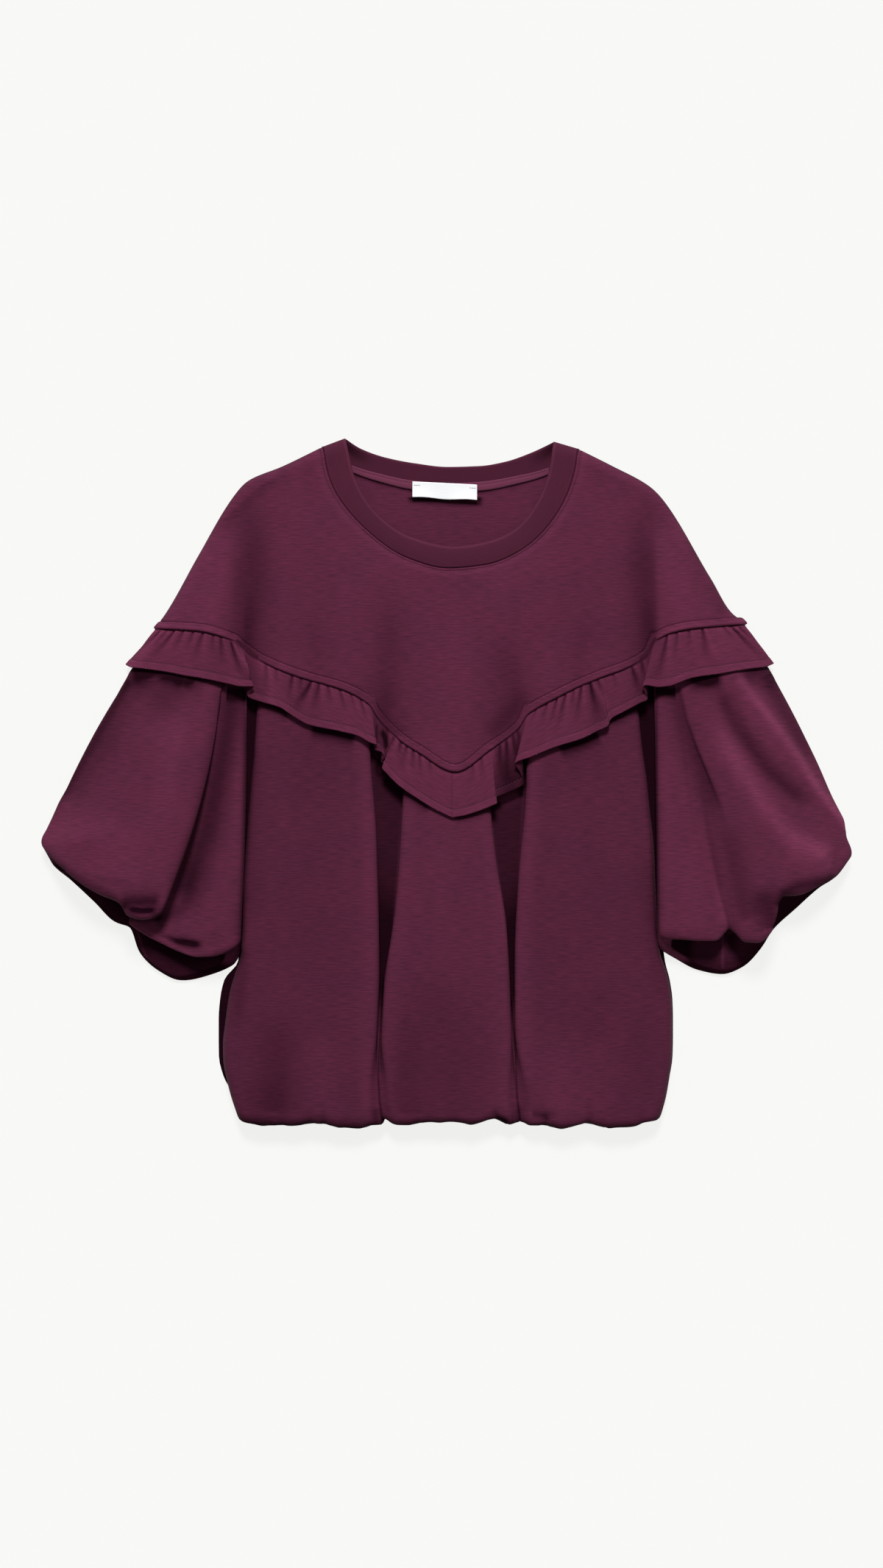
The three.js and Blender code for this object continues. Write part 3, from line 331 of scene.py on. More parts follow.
yoke_seam = through(
    (-267, 142), (-228, 140), (-196, 131), (-185, 122), (-174, 114), (-126, 95), (-97, 87),
    (-72, 73), (-64, 60), (-47, 43), (-26, 29), (7, 12), (39, 32), (64, 50), (73, 64),
    (102, 81), (133, 95), (180, 115), (189, 130), (203, 138), (222, 142), (272, 146),
)
front_neck_seam = route(
    (-113, 307), (-110, 288), (-103, 268), (-74, 232), (-36, 206), (0, 197),
    (34, 200), (72, 217), (104, 255), (115, 285), (118, 305),
)
back_neck_seam = route(
    (-113, 307), (-88, 288), (-62, 280), (-33, 274), (0, 271.5), (32, 273), (62, 278), (90, 285), (118, 305)
)
front_neck_edge = route(
    (-94, 314), (-91, 300), (-86, 280), (-66, 246), (-32, 223), (6, 215),
    (38, 220), (63, 232), (84, 260), (93, 285), (97, 311),
)
back_neck_edge = route(
    (-94, 314), (-80, 305), (-58, 297), (-31, 291.5), (0, 288), (30, 289), (53, 293), (76, 301), (97, 311)
)
# points that the front and the back neckline face; the yokes stop short of the seam, away from them
FRONT_NECK_MIDDLE, BACK_NECK_MIDDLE = [2, 330], [2, 400]
left_arm = route(
    (-113, 307), (-150, 289), (-181, 276), (-192, 265), (-227, 207), (-252, 162), (-260, 150), (-267, 142)
)
right_arm = route(
    (118, 305), (148, 290), (183, 271), (196, 258), (239, 187), (261, 153), (268, 150), (272, 146)
)
print("the yoke seam at the arms and the middle:", yoke_seam([ARM_LEFT, 0, ARM_RIGHT]).round(1), "mm")


# %% Heights along the yoke seam
def seam_height(x):
    """How high the yoke lies along its seam: most at the middle, with a dip at each armpit."""
    dips = bump(x, ARMPIT_LEFT, 22) + bump(x, ARMPIT_RIGHT, 22)
    return 12 + 3 * ease((150 - np.abs(x)) / 90) - 3.5 * dips


RUFFLE_DROP = (CLOTH + RUFFLE_CLOTH) / 2 + SEWN
PANEL_DROP = RUFFLE_DROP + (CLOTH + RUFFLE_CLOTH) / 2 + SEWN
ARM_ROLL = 16


def under_yoke(x):
    """0 at the arm's edge, where the yoke rolls over to the back, and 1 from the roll inwards."""
    from_edge = np.minimum(x - ARM_LEFT, ARM_RIGHT - x)
    return np.sqrt(1 - (1 - np.clip(from_edge / ARM_ROLL, 0, 1)) ** 2)


def tuck_at(x):
    """How far cloth is tucked up under the yoke; at the arms' edges it stops just below the seam."""
    from_edge = np.minimum(x - ARM_LEFT, ARM_RIGHT - x)
    return mix(-1.4, TUCK, ease((from_edge - ARM_ROLL) / 8))


def panel_top(x):
    """The height of a panel where it is sewn in, under the yoke and the ruffle."""
    return seam_height(x) - PANEL_DROP


print("yoke and panel above the surface at the middle:", seam_height(0), "and", panel_top(0), "mm")

# %% [markdown]
# ## Front yoke
#
# The yoke is one wide piece from shoulder to shoulder. Its seam allowance is pressed up behind it and
# stitched down, so a low band runs along the bottom seam with the stitching sunk at its upper edge.
# Blender's cloth simulation could lay such a piece down, but its folds would land anywhere. Here the
# plan is filled in between its four edges (a Coons patch), and the height is a gentle chest with a soft
# fold running up from each armpit, so every edge and fold is where it should be.


# %% Front yoke
def between(near, far, left, right, s, t):
    """Points over a piece with four edges: near and far run with s, left and right with t."""
    s, t = s[:, None, None], t[None, :, None]
    across = mix(near[:, None], far[:, None], t)
    along = mix(left[None], right[None], s)
    corner = mix(mix(near[0], near[-1], s), mix(far[0], far[-1], s), t)
    return across + along - corner


STITCH_ABOVE_SEAM = 5.6
SEAM_BAND = 0.7
CHEST = 7
VALLEY = 6
YOKE_ROLL = 0.03  # the share of the width that rolls over to the back at each arm
ON_ARM = 190  # from here outwards the seam lies over the arm
# painted shade and highlights beside the neck seam: the seam, its ridge, the top-stitching, and the cloth
# below it
NECK_LINES = [(0, 0.5, 0.4), (1.6, 0.8, -0.24), (3.2, 0.45, 0.38), (6.5, 4, -0.16)]

# each fold's tone is painted shade, or a painted highlight where it is below 0
YOKE_FOLDS = [
    Fold([(-178, 270), (-180, 220), (-181, 170), (-184, 126), (-182, 100)], 13, 15, -4.5, 0.36, (0.5, 0.02)),
    Fold([(-181, 180), (-185, 104)], 3, 8, -1.2, 0.2, (0.5, 0.02)),
    Fold([(182, 268), (184, 220), (185, 170), (187, 127), (186, 102)], 17, 4, -4.5, 0.4, (0.5, 0.02)),
    Fold([(184, 180), (187, 106)], 9, 2, -1.2, 0.16, (0.5, 0.02)),
    Fold([(-57, 196), (-55, 120), (-58, 40)], 12, 16, -2, 0.2, (0.5, 0.02)),
    Fold([(-52, 105), (-62, 62), (-47, 40)], 11, 10, -0.8, 0.24, (0.6, 0.05)),
    Fold([(45, 150), (59, 95), (60, 34)], 20, 10, -2, 0.2, (0.5, 0.02)),
    Fold([(76, 92), (60, 66), (32, 40)], 9, 8, -0.8, 0.26, (0.3, 0.2)),
    Fold([(-122, 160), (-119, 84)], 9, 9, -0.9, 0.12, (0.6, 0.02)),
    Fold([(122, 160), (118, 82)], 5, 9, -0.8, 0.1, (0.6, 0.02)),
    Fold([(-88, 195), (-92, 80)], 15, 15, 0.9, -0.05),
    Fold([(92, 140), (86, 62)], 11, 13, 0.9, -0.07, (0.4, 0.02)),
    Fold([(8, 175), (4, 5)], 24, 20, 0.8, -0.07, (0.4, 0.02)),
    Fold([(-36, 50), (3, 20), (26, 34)], 5, 14, 0, -0.14, (0.3, 0.3)),
    Fold([(-196, 240), (-222, 132)], 40, 16, 1.0, -0.24, (0.25, 0.01)),
    Fold([(188, 245), (216, 132)], 16, 30, 1.0, -0.26, (0.25, 0.01)),
    Fold([(-165, 108), (-120, 98), (-78, 78)], 6, 22, 0.3, -0.12, (0.2, 0.2)),
    Fold([(165, 108), (120, 92), (84, 72)], 22, 6, 0.3, -0.12, (0.2, 0.2)),
    Fold([(-150, 285), (-205, 238), (-218, 215)], 2, 9, -0.4, 0.16, (0.2, 0.4)),
    Fold([(214, 232), (232, 196), (256, 150)], 8, 2, -0.3, 0.2, (0.2, 0.1)),
    Fold([(-60, 190), (50, 176)], 22, 16, 0, 0.07),
    Fold([(-150, 245), (-142, 120)], 12, 12, 0.8, -0.05),
    Fold([(150, 235), (146, 120)], 12, 12, 0.8, -0.03),
]


def front_yoke():
    s = graded((0, 0.04, 14), (0.04, 0.96, 230), (0.96, 1, 14))
    t = graded((0, 0.04, 12), (0.04, 0.93, 52), (0.93, 1, 30))
    seam_x = mix(ARM_LEFT, ARM_RIGHT, s)
    near = front_neck_seam(s)
    near = near + unit(near - FRONT_NECK_MIDDLE) * (SEWN + 1.1)
    far = np.stack([seam_x, yoke_seam(seam_x)], -1)
    plan = between(near, far, left_arm(t), right_arm(t), s, t)
    x, y = plan[..., 0], plan[..., 1]
    side = np.minimum(s, 1 - s)[:, None]
    roll = np.sqrt(1 - (1 - np.clip(side / YOKE_ROLL, 0, 1)) ** 2)
    swell = np.sin(np.pi * t)[None]
    chest = CHEST * swell**0.8 * ease(side / 0.2)

    def dip(away):
        """The valley at an armpit, wider on the chest's side and gone at the shoulder."""
        return bump(away, 0, np.where(away > 0, 40, 16)) * ease((285 - y) / 150)

    valley = VALLEY * swell * (dip(x - ARMPIT_LEFT - 3) + dip(ARMPIT_RIGHT - 3 - x))
    edge = BACK + CLOTH + SEWN
    z = mix(edge, mix(NECK_HEIGHT, seam_height(x), ease(t)) + chest - valley, roll)
    grid = np.stack([x, y, z], -1)

    slope = (yoke_seam(x + 1) - yoke_seam(x - 1)) / 2
    above = (y - yoke_seam(x)) / np.hypot(1, slope)
    band = SEAM_BAND * ease((STITCH_ABOVE_SEAM + 0.6 - above) / 1.2) * ease((above + 0.2) / 1.2)
    groove = 0.7 * bump(above, STITCH_ABOVE_SEAM + 0.5, 0.7)
    length = np.linalg.norm(far - near, axis=-1)
    from_neck = t[None] * length[:, None]
    neck_line = 0.35 * bump(from_neck, 2.4, 0.6) - 0.35 * bump(from_neck, 0.9, 0.8)
    folds, tone = folded(grid, YOKE_FOLDS)
    height = band - groove - neck_line + folds * np.minimum(1, side / YOKE_ROLL)
    # painted shade along the seam's edge and in the stitching, and a painted highlight on the band between
    # them
    at_edge, band_highlight = np.where(abs(x) > ON_ARM, 0.1, 0.26), np.where(abs(x) > ON_ARM, -0.34, -0.24)
    tone += lined(above, [(0, 0.5, at_edge), (2.4, 2, band_highlight), (STITCH_ABOVE_SEAM + 0.4, 0.5, 0.42)])
    tone += lined(from_neck, NECK_LINES)
    rows = np.arange(len(t))
    stitched = [np.interp(STITCH_ABOVE_SEAM + 0.5, line[::-1], rows[::-1]) for line in above]
    return cloth("front_yoke_cloth", raised(grid, height), CLOTH, depth=tone, laid=True), np.array(stitched)


yoke, yoke_stitch_rows = front_yoke()

# %% [markdown]
# ## Back yoke
#
# The back lies on the surface, so its yoke and its body are flat sheets that meet edge to edge, with a
# few broad and very low folds where the cloth doesn't quite lie down. A plane cut to the outline would
# do, but filling between four edges, as for the front, lets the grid follow the neck and the shoulders.

# %% Back yoke
BACK_SEAM_GAP = 0.5
BACK_SEAM = {"left": 141, "middle": 118, "right": 145}


def back_seam(x):
    left = np.clip((ARMPIT_LEFT - x) / (ARMPIT_LEFT - ARM_LEFT), 0, None)
    right = np.clip((x - ARMPIT_RIGHT) / (ARM_RIGHT - ARMPIT_RIGHT), 0, None)
    return mix(mix(BACK_SEAM["middle"], BACK_SEAM["left"], left), BACK_SEAM["right"], right)


BACK_YOKE_FOLDS = [
    # the shade that the tape and the label throw on the cloth below them
    Fold(
        [(-94, 287), (-62, 275.5), (-33, 269), (0, 265), (32, 268), (62, 274), (96, 285)],
        2.6, 3, 0, 0.85, (0.01, 0.01),
    ),
    Fold([(-33, 262), (-33, 260), (0, 257.5), (28, 257), (28.5, 262)], 3, 3, 0, 0.95, (0.01, 0.01)),
    # faint painted shade below the back neck
    Fold([(-70, 245), (-30, 225), (40, 225), (76, 248)], 30, 30, 0, 0.06),
    Fold([(-120, 270), (-150, 130)], 14, 14, 0.7, 0),
    Fold([(110, 265), (140, 125)], 16, 16, 0.8, 0),
    Fold([(-20, 245), (-28, 130)], 20, 20, 0.6, 0),
    Fold([(-215, 210), (-230, 150)], 10, 10, 0.5, 0),
    Fold([(205, 215), (226, 150)], 10, 10, 0.5, 0),
]


def back_yoke():
    s = np.linspace(0, 1, 221)
    t = graded((0, 0.16, 23), (0.16, 1, 22))
    seam_x = mix(ARM_LEFT + CLOTH, ARM_RIGHT - CLOTH, s)
    near = back_neck_seam(mix(0.025, 0.975, s))
    near = near + unit(near - BACK_NECK_MIDDLE) * 1.8
    far = np.stack([seam_x, back_seam(seam_x)], -1)
    arms = []
    for arm, corner, inset in ((left_arm, near[0], CLOTH), (right_arm, near[-1], -CLOTH)):
        side = [corner, *(arm(share) + [inset, -1] for share in np.linspace(0.1, 1, 11))]
        arms.append(route(*side)(t))
    plan = between(near, far, *arms, s, t)
    grid = np.concatenate([plan, np.full(plan.shape[:2] + (1,), BACK)], -1)
    lift, tone = folded(grid, BACK_YOKE_FOLDS)
    return cloth("back_yoke_cloth", raised(grid, lift), CLOTH, depth=tone, laid=True)


back_yoke_sheet = back_yoke()

# %% [markdown]
# ## Back body
#
# One plain panel, a little wider than the front in places, so it shows at the sides. Its hem is turned up
# inside and is drawn in by the gather. It could share the front's lines, but it has no pleats, so straight
# lines from the seam to the hem are enough. What shows of it lies in the front's shade, so it is dark.

# %% Back body
BODY_LEFT = through(
    (-304, -190.5), (-285, -197), (-243, -205), (-215, -202.5), (-190, -199), (-176, -195.5),
    (-158, -189.5), (-136, -187), (-100, -186.8), (-63, -184.6), (-20, -181.4), (4, -179.3),
    (40, -175.8), (107, -171.5),
)
BODY_RIGHT = through(
    (-304, 193), (-288, 198), (-237, 204.5), (-206, 204.5), (-175, 201), (-160, 196), (-140, 192),
    (-100, 190.5), (-60, 188), (-20, 183.7), (0, 181.8), (40, 176.5), (107, 170.5),
)
BODY_CUFF = {"roll": 4, "depth": 28, "height": 12, "drawn_in": 0.955, "tapers": 0.985}
BACK_CUFF = {"roll": 2.6, "hem": -300, "drawn_in": 0.085}
IN_SHADE = 0.93

BACK_LEFT = through(
    (-300, -190), (-285, -197.5), (-243, -208), (-215, -208), (-190, -206), (-176, -202),
    (-158, -189.5), (-136, -189), (-60, -187), (10, -186), (118, -185),
)
BACK_RIGHT = through(
    (-300, 191), (-288, 197), (-237, 204.5), (-206, 204.5), (-175, 201), (-155, 196), (-131, 194.5),
    (-42, 191), (10, 190.5), (118, 189.5),
)
BACK_BODY_FOLDS = [
    Fold([(-120, 100), (-135, -250)], 18, 18, 0.9, 0),
    Fold([(-40, 90), (-30, -230)], 14, 14, 0.8, 0),
    Fold([(70, 95), (95, -210)], 20, 20, 0.9, 0),
    Fold([(140, 60), (150, -280)], 12, 12, 0.7, 0),
    Fold([(10, -60), (0, -290)], 12, 12, 0.7, 0),
]


def back_body():
    roll, hem = BACK_CUFF["roll"], BACK_CUFF["hem"]
    lines = []
    for s in np.linspace(0, 1, 33):
        seam = back_seam(mix(-185, 188, s)) - BACK_SEAM_GAP
        points = []
        for v in np.linspace(0, 1, 25):
            y = mix(seam, hem, v)
            inset = 7 * ease((hem + 40 - y) / 40)
            points.append((mix(BACK_LEFT(y) + inset, BACK_RIGHT(y) - inset, s), y, BACK))
        x, y, _ = points[-1]
        for share in (0.25, 0.5, 0.75, 1):
            turn = share * np.pi
            drawn = mix(x, 0, BACK_CUFF["drawn_in"] * share)
            points.append((drawn, y - roll * np.sin(turn), BACK + roll * (1 - np.cos(turn))))
        points.append((mix(x, 0, BACK_CUFF["drawn_in"]), y + BODY_CUFF["depth"], BACK + 2 * roll))
        lines.append(points)
    grid = refined(np.array(lines, float), 6, 6)
    lift, tone = folded(grid, BACK_BODY_FOLDS)
    inside = np.cumsum(np.gradient(grid[..., 1], axis=1) > 0, axis=1) > 0
    lift = np.where(inside, 0, lift)
    return cloth("back_body_cloth", raised(grid, lift), CLOTH, depth=tone + IN_SHADE, laid=True)


back_body_sheet = back_body()

# %% [markdown]
# ## The ruffle's rows
#
# The ruffle hangs over the body and the sleeves and shades them, so its tables come first. Each row is
# a point of the strip: x on the yoke seam, and the x, y and height where it ends at the hem. A gather is
# a small furrow that starts at the seam, reaches so far down the strip and leans to one side. A sine wave
# would be shorter to write, but it looks machine-made: real gathers differ in depth, length and spacing.

# %% Ruffle rows
LEFT_RUFFLE = [
    (-266, -292.5, 109, 6), (-262, -287, 106.5, 12), (-255, -278, 105.5, 15.5), (-242, -256, 102.5, 17),
    (-228, -238, 99, 17.5), (-213, -217, 95.5, 17.5), (-199, -199, 91.5, 18), (-190, -185, 89, 19.5),
    (-187, -176.5, 89, 20), (-185, -178, 85, 17), (-183, -182, 81, 14.5), (-180, -179, 78.5, 14),
    (-174, -170, 75.5, 14.5), (-155, -152, 70, 17), (-140, -142, 63.5, 17.5), (-126, -126, 54.5, 18),
    (-109, -100, 49, 18.5), (-90, -82, 44.5, 19), (-75, -70, 38, 20.5), (-69, -65, 36, 21),
    (-67, -66.5, 35.5, 18.5), (-65, -66, 32, 16), (-62.5, -60, 29.5, 19), (-60, -57.5, 24.5, 20),
    (-57.5, -60.5, 21, 17), (-55, -56, 19, 15.5), (-51, -56, 18, 17.5), (-49.5, -59, 15, 20),
    (-47, -56, 11, 20.5), (-40, -44, -1, 19.5), (-26, -29, -11.5, 19), (-11, -13, -21.5, 19),
    (3.3, 3.3, -29.5, 19),
]
RIGHT_RUFFLE = [
    (4, 4, -29.7, 19), (14, 16, -27.5, 19), (28, 34, -21.5, 19.5), (36, 42, -18, 20.5),
    (39, 44, -17, 20.5), (41, 41.5, -14.5, 17.5), (44, 42, -12.5, 15), (52, 52, -8, 14.5),
    (61, 64, -2.5, 14.5), (65.5, 69, 1, 14), (68.5, 66, 11, 17.5), (71.5, 61.5, 18, 21),
    (74, 61.5, 19.5, 22.5), (84, 76, 25.5, 20), (102, 98, 34.5, 19.5), (122, 122, 42, 19),
    (133, 137, 49.5, 19.5), (137, 145, 53.5, 20), (139, 146, 57, 17.5), (142, 149, 60.5, 16),
    (155, 160, 66.5, 16), (172, 174, 74, 15), (181, 181, 78, 14.5), (184, 179.5, 83, 17),
    (186.5, 177, 88, 19.5), (189, 180, 90, 20), (194, 190, 88.5, 18.5), (203, 200, 89.5, 17.5),
    (222, 222, 97, 17.5), (240, 248, 101, 17), (255, 276, 105.5, 16), (263, 288, 107, 12.5),
    (270, 296, 110, 6.5),
]
Gather = namedtuple("Gather", "seam depth reach lean")
GATHERS = [
    Gather(*row)
    for row in (
        (-261, 1.6, 0.9, -8), (-255, 0.9, 0.6, -5), (-248, 1.5, 0.9, -6), (-240, 1.1, 0.6, -3),
        (-231, 1.2, 0.5, -2), (-222, 1.3, 0.8, -5), (-213, 0.9, 0.5, 1), (-206, 1.2, 0.7, 4),
        (-197, 1.9, 1.1, 10), (-165, 1.1, 1.1, -6), (-156, 0.8, 0.5, -3), (-141, 1.4, 0.8, -4),
        (-133, 0.8, 0.4, -2), (-124, 1.9, 1.0, -16), (-117, 1.4, 0.7, -9), (-109, 1.1, 0.5, -3),
        (-98, 1.2, 0.6, -1), (-88, 0.9, 0.5, 2), (-79, 1.2, 0.6, 3), (-48, 1.3, 0.6, -4),
        (-42, 1.4, 0.5, -2), (-37, 1.3, 0.7, -5), (-31, 1.2, 0.5, 1), (-25, 1.1, 0.6, 2), (-16, 0.7, 0.4, 2),
        (22, 0.6, 0.5, -3), (30, 0.8, 0.5, -3), (47, 1.2, 0.8, 3), (53, 1.5, 0.9, 1), (59, 1.2, 0.9, 3),
        (63, 1.1, 0.8, 2), (80, 0.8, 0.4, -3), (90, 1.0, 0.5, -4), (99, 1.4, 0.6, -6), (107, 1.5, 0.8, -8),
        (114, 1.0, 0.5, -2), (121, 1.6, 0.8, -6), (129, 1.9, 1.0, 6), (136, 1.0, 0.5, 5), (150, 0.8, 0.4, 2),
        (167, 1.5, 0.9, 7), (176, 1.1, 0.7, 3), (199, 1.6, 1.0, -6), (208, 1.0, 0.6, -2), (219, 0.9, 0.5, 0),
        (231, 1.6, 0.8, 2), (250, 0.8, 0.4, 5), (258, 1.7, 1.0, 8), (264, 1.1, 0.7, 6),
    )
]


print(len(LEFT_RUFFLE) + len(RIGHT_RUFFLE), "points on the two strips and", len(GATHERS), "gathers")


def shade_under(first, last, reach, tone):
    """The shade below the ruffle's hem from one x to another, reaching so far down."""
    hem = [(x, y - 1) for _, x, y, _ in LEFT_RUFFLE + RIGHT_RUFFLE if first <= x <= last]
    return Fold(hem, reach, 3, 0, tone, (0.15, 0.1))


RUFFLE_SHADE = [
    shade_under(-293, -236, 9, 0.7),
    shade_under(-240, -186, 4, 0.72),
    shade_under(-293, -210, 22, 0.22),
    shade_under(-183, -140, 5, 0.78),
    shade_under(-135, -74, 8, 0.88),
    shade_under(-60, 3, 5.5, 0.75),
    shade_under(3, 44, 4, 0.72),
    shade_under(88, 137, 9, 0.85),
    shade_under(61, 86, 4, 0.66),
    # a painted highlight on the pleat's floor just below the ruffle's hem, against its deep shadow
    Fold([(45, -18), (54, -13), (66, -8)], 5, 6, 0, -0.5, (0.2, 0.2)),
    shade_under(145, 182, 5.5, 0.8),
    shade_under(186, 205, 3, 0.65),
    Fold([(212, 94), (222, 97), (232, 99), (243, 99), (252, 101)], 11, 3, 0, 0.95, (0.3, 0.3)),
    Fold([(262, 103), (276, 104), (288, 105), (298, 107)], 15, 3, 0, 0.6, (0.3, 0.01)),
]

# %% [markdown]
# ## Front body
#
# Three panels are cut in one, and two deep inverted pleats take up the cloth between them: it turns under
# each panel's edge, runs back behind it and comes up again on the other side. The hem is gathered and
# turned in, which makes the bubble. Flat panels with dark gaps between them would look right from above
# only. So the pleats' walls are lines of the same grid: each lengthwise line knows its place across the
# body at every height, and is then carried round the hem and back up inside.

# %% Front body
PANEL_EDGE = {
    "first_right": through(
        (-304, -59), (-285, -64), (-223, -63.5), (-170, -61.5), (-49, -64), (35, -70), (75, -71)
    ),
    "middle_left": through(
        (-304, -57), (-285, -61.5), (-211, -61.5), (-173, -57.5), (-122, -49.5), (-49, -43.5),
        (10, -41), (45, -45),
    ),
    "middle_right": through(
        (-304, 63.5), (-259, 61), (-237, 59), (-173, 56.5), (-125, 53.5), (-71, 45), (-25, 40), (35, 38)
    ),
    "last_left": through(
        (-304, 65.5), (-259, 62.5), (-237, 60.5), (-160, 60), (-83, 63.5), (-10, 70), (20, 71), (60, 72)
    ),
}
front_hem = through(
    (-191, -306), (-176, -309), (-140, -310), (-112, -307), (-100, -311), (-85, -313), (-70, -309.5),
    (-62, -309), (-57, -304), (-50, -308.5), (-40, -310), (-26, -307), (0, -306), (20, -309),
    (36, -303.5), (46, -304), (56, -309), (68, -306.5), (78, -310), (96, -309.5), (112, -313),
    (128, -308), (142, -311.5), (174, -311), (184, -306.5), (194, -305),
)
body_loft = through((0, 0), (0.14, 3), (0.4, 7), (0.8, 11), (1, 9))
pleat_floor = through((0, 3), (0.5, 4.5), (0.76, 8), (0.84, 11), (0.92, 15.4), (1, 16))
pleat_depth = through((0, 11), (0.45, 10), (0.72, 4), (0.85, 0), (1, 0))
PleatLine = namedtuple("PleatLine", "inset behind down groove")
PLEAT_WALL = [
    PleatLine(6, 0, 0, 11.5),
    PleatLine(2, 0, 0.07, 9.8),
    PleatLine(0.9, 0, 0.22, 8.2),
    PleatLine(0.8, 0.12, 0.4, 6.8),
    PleatLine(0.7, 0.6, 0.48, 5.4),
    PleatLine(0.6, 1, 0.62, 4),
    PleatLine(0.5, 1, 0.86, 2.6),
    PleatLine(0.2, 0.55, 1, 1.3),
]
GROOVE_HALF = 12.5
PANEL_HEIGHT = 17.5
PANEL_CROWN = 10
PANEL_MARGIN, SIDE_MARGIN = 9, 12  # where a panel's own lines begin, inside its edges
# painted shade on the side panels and on the middle panel
SIDE_SHADE, MIDDLE_SHADE = 0.17, 0.08
# painted shade in the pleats, by the share down the body
PLEAT_SHADE = through((0, 0.66), (0.3, 0.66), (0.42, 0.72), (0.52, 0.92), (0.66, 0.9), (0.8, 0.2), (1, 0.1))
SIDE_TURN = 7


def panel_height(x, v):
    """A panel's height at a share of the way down: it rises from the seam to its full height."""
    return mix(panel_top(x), PANEL_HEIGHT, ease(v / 0.5)) + 0.4 * body_loft(v)


def pleat_opening(v):
    """0 where the pleat is folded, and 1 near the hem, where it has opened into a shallow groove."""
    return ease((v - 0.76) / 0.2)


def side_lines(outline, sign):
    """The body's side, rolled up from the surface on to the front, with painted shade darkest low on the
    roll.
    """
    for turn in (0, 0.12, 0.3, 0.55, 0.8, 1):
        angle = turn * np.pi / 2
        inset = sign * (CLOTH / 2 + SIDE_TURN * (1 - np.cos(angle)))
        rise = np.sin(angle) ** 0.9
        yield (
            lambda y, v, inset=inset: outline(y) + inset,
            lambda x, v, rise=rise: mix(BACK + CLOTH / 2 + SEWN, panel_height(x, v), rise),
            lambda v, turn=turn: mix(SIDE_SHADE, 0.7, (1 - turn) ** 6),
        )


def panel_lines(left, right, tone):
    """The lines of a panel between its edges, a little higher in its middle, all with the panel's painted
    shade.
    """
    for share in (0.12, 0.3, 0.5, 0.7, 0.88):
        crown = PANEL_CROWN * share * (1 - share)
        yield (
            lambda y, v, share=share: mix(left(y), right(y), share),
            lambda x, v, crown=crown: panel_height(x, v) + crown * ease(v / 0.3),
            lambda v: tone,
        )


def pleat_lines(edge, other, sign):
    """From a panel's edge, round under it and out to the pleat's middle, with painted shade deeper down the
    wall.
    """
    for row in PLEAT_WALL:
        groove_down = (1 + np.cos(np.pi * row.groove / GROOVE_HALF)) / 2

        def place(y, v, row=row):
            folded = edge(y) + sign * (row.inset + row.behind * pleat_depth(v))
            return mix(folded, (edge(y) + other(y)) / 2 + sign * row.groove, pleat_opening(v))

        def height(x, v, row=row, groove_down=groove_down):
            share = mix(row.down, groove_down, pleat_opening(v))
            return mix(panel_height(edge(0), v), pleat_floor(v), share)

        yield place, height, lambda v, row=row: row.down**0.7 * PLEAT_SHADE(v)


def pleat(left, right):
    """One inverted pleat between two panels: down, along its floor and up."""
    middle = (lambda y, v: (left(y) + right(y)) / 2, lambda x, v: pleat_floor(v), PLEAT_SHADE)
    return [*pleat_lines(left, right, -1), middle, *list(pleat_lines(right, left, 1))[::-1]]


# each fold's tone is painted shade, or a painted highlight where it is below 0
BODY_FOLDS = [
    Fold([(-152, -195), (-157, -300)], 20, 17, -2, 0.22, (0.5, 0.05)),
    Fold([(-10, -150), (-16, -300)], 44, 44, 0, 0.17, (0.4, 0.02)),
    Fold([(-122, 60), (-125, -40)], 26, 30, 0, 0.08, (0.1, 0.5)),
    Fold([(118, 60), (112, -40)], 30, 30, 0, 0.06, (0.1, 0.5)),
    Fold([(170, -190), (176, -290)], 12, 14, 0, 0.05),
    Fold([(98, -225), (120, -300)], 26, 36, 0, -0.1, (0.5, 0.02)),
    Fold([(-112, -220), (-114, -304)], 13, 12, 1.2, -0.08, (0.4, 0.05)),
    Fold([(-82, 20), (-82, -290)], 11, 10, 0.6, -0.05),
    Fold([(-120, 30), (-128, -180)], 17, 15, 1.0, 0.02),
    Fold([(-176, 40), (-184, -140)], 8, 12, -0.5, 0.12, (0.1, 0.2)),
    Fold([(-184, -145), (-190, -205), (-194, -235)], 8, 6, -1, 0.22, (0.1, 0.4)),
    Fold([(-38, -205), (-43, -302)], 12, 14, -1.2, 0.12, (0.5, 0.05)),
    Fold([(20, -215), (20, -300)], 22, 25, -0.8, 0.06, (0.5, 0.02)),
    Fold([(-5, -40), (-12, -190)], 18, 18, 0.8, -0.03),
    Fold([(90, -215), (92, -300)], 20, 20, 1.2, -0.09, (0.5, 0.05)),
    Fold([(71, -262), (76, -298)], 7, 8, -1, 0.14, (0.5, 0.02)),
    Fold([(135, -180), (132, -250)], 14, 14, -0.8, 0.05),
    Fold([(110, 40), (100, -180)], 16, 16, 0.8, -0.02),
    Fold([(182, -40), (192, -150), (198, -215)], 12, 9, -1, 0.2, (0.3, 0.4)),
    # the pleats' edges, where the fold turns to the light
    Fold([(-41, -20), (-44, -60), (-49, -125), (-55.5, -180)], 1, 2.2, 0, -0.22, (0.05, 0.3)),
    Fold([(39, -25), (46, -85), (53, -140), (57.5, -200)], 2.2, 1, 0, -0.22, (0.05, 0.3)),
    Fold([(70, 10), (66, -60), (63, -120), (62.5, -240)], 1, 2.2, 0, -0.16, (0.05, 0.2)),
    Fold([(-70, 30), (-66, -40), (-63, -120), (-62, -180)], 2.2, 1, 0, -0.08, (0.05, 0.3)),
    # the pleats close to a slit towards the hem, with painted shade in it
    Fold([(-58, -170), (-60.5, -215), (-63, -265), (-62, -288), (-59, -306)], 1, 1, -1.8, 0.24, (0.1, 0.01)),
    Fold([(57.5, -190), (60.5, -245), (63, -285), (65.5, -306)], 1, 1, -1.8, 0.24, (0.1, 0.01)),
]
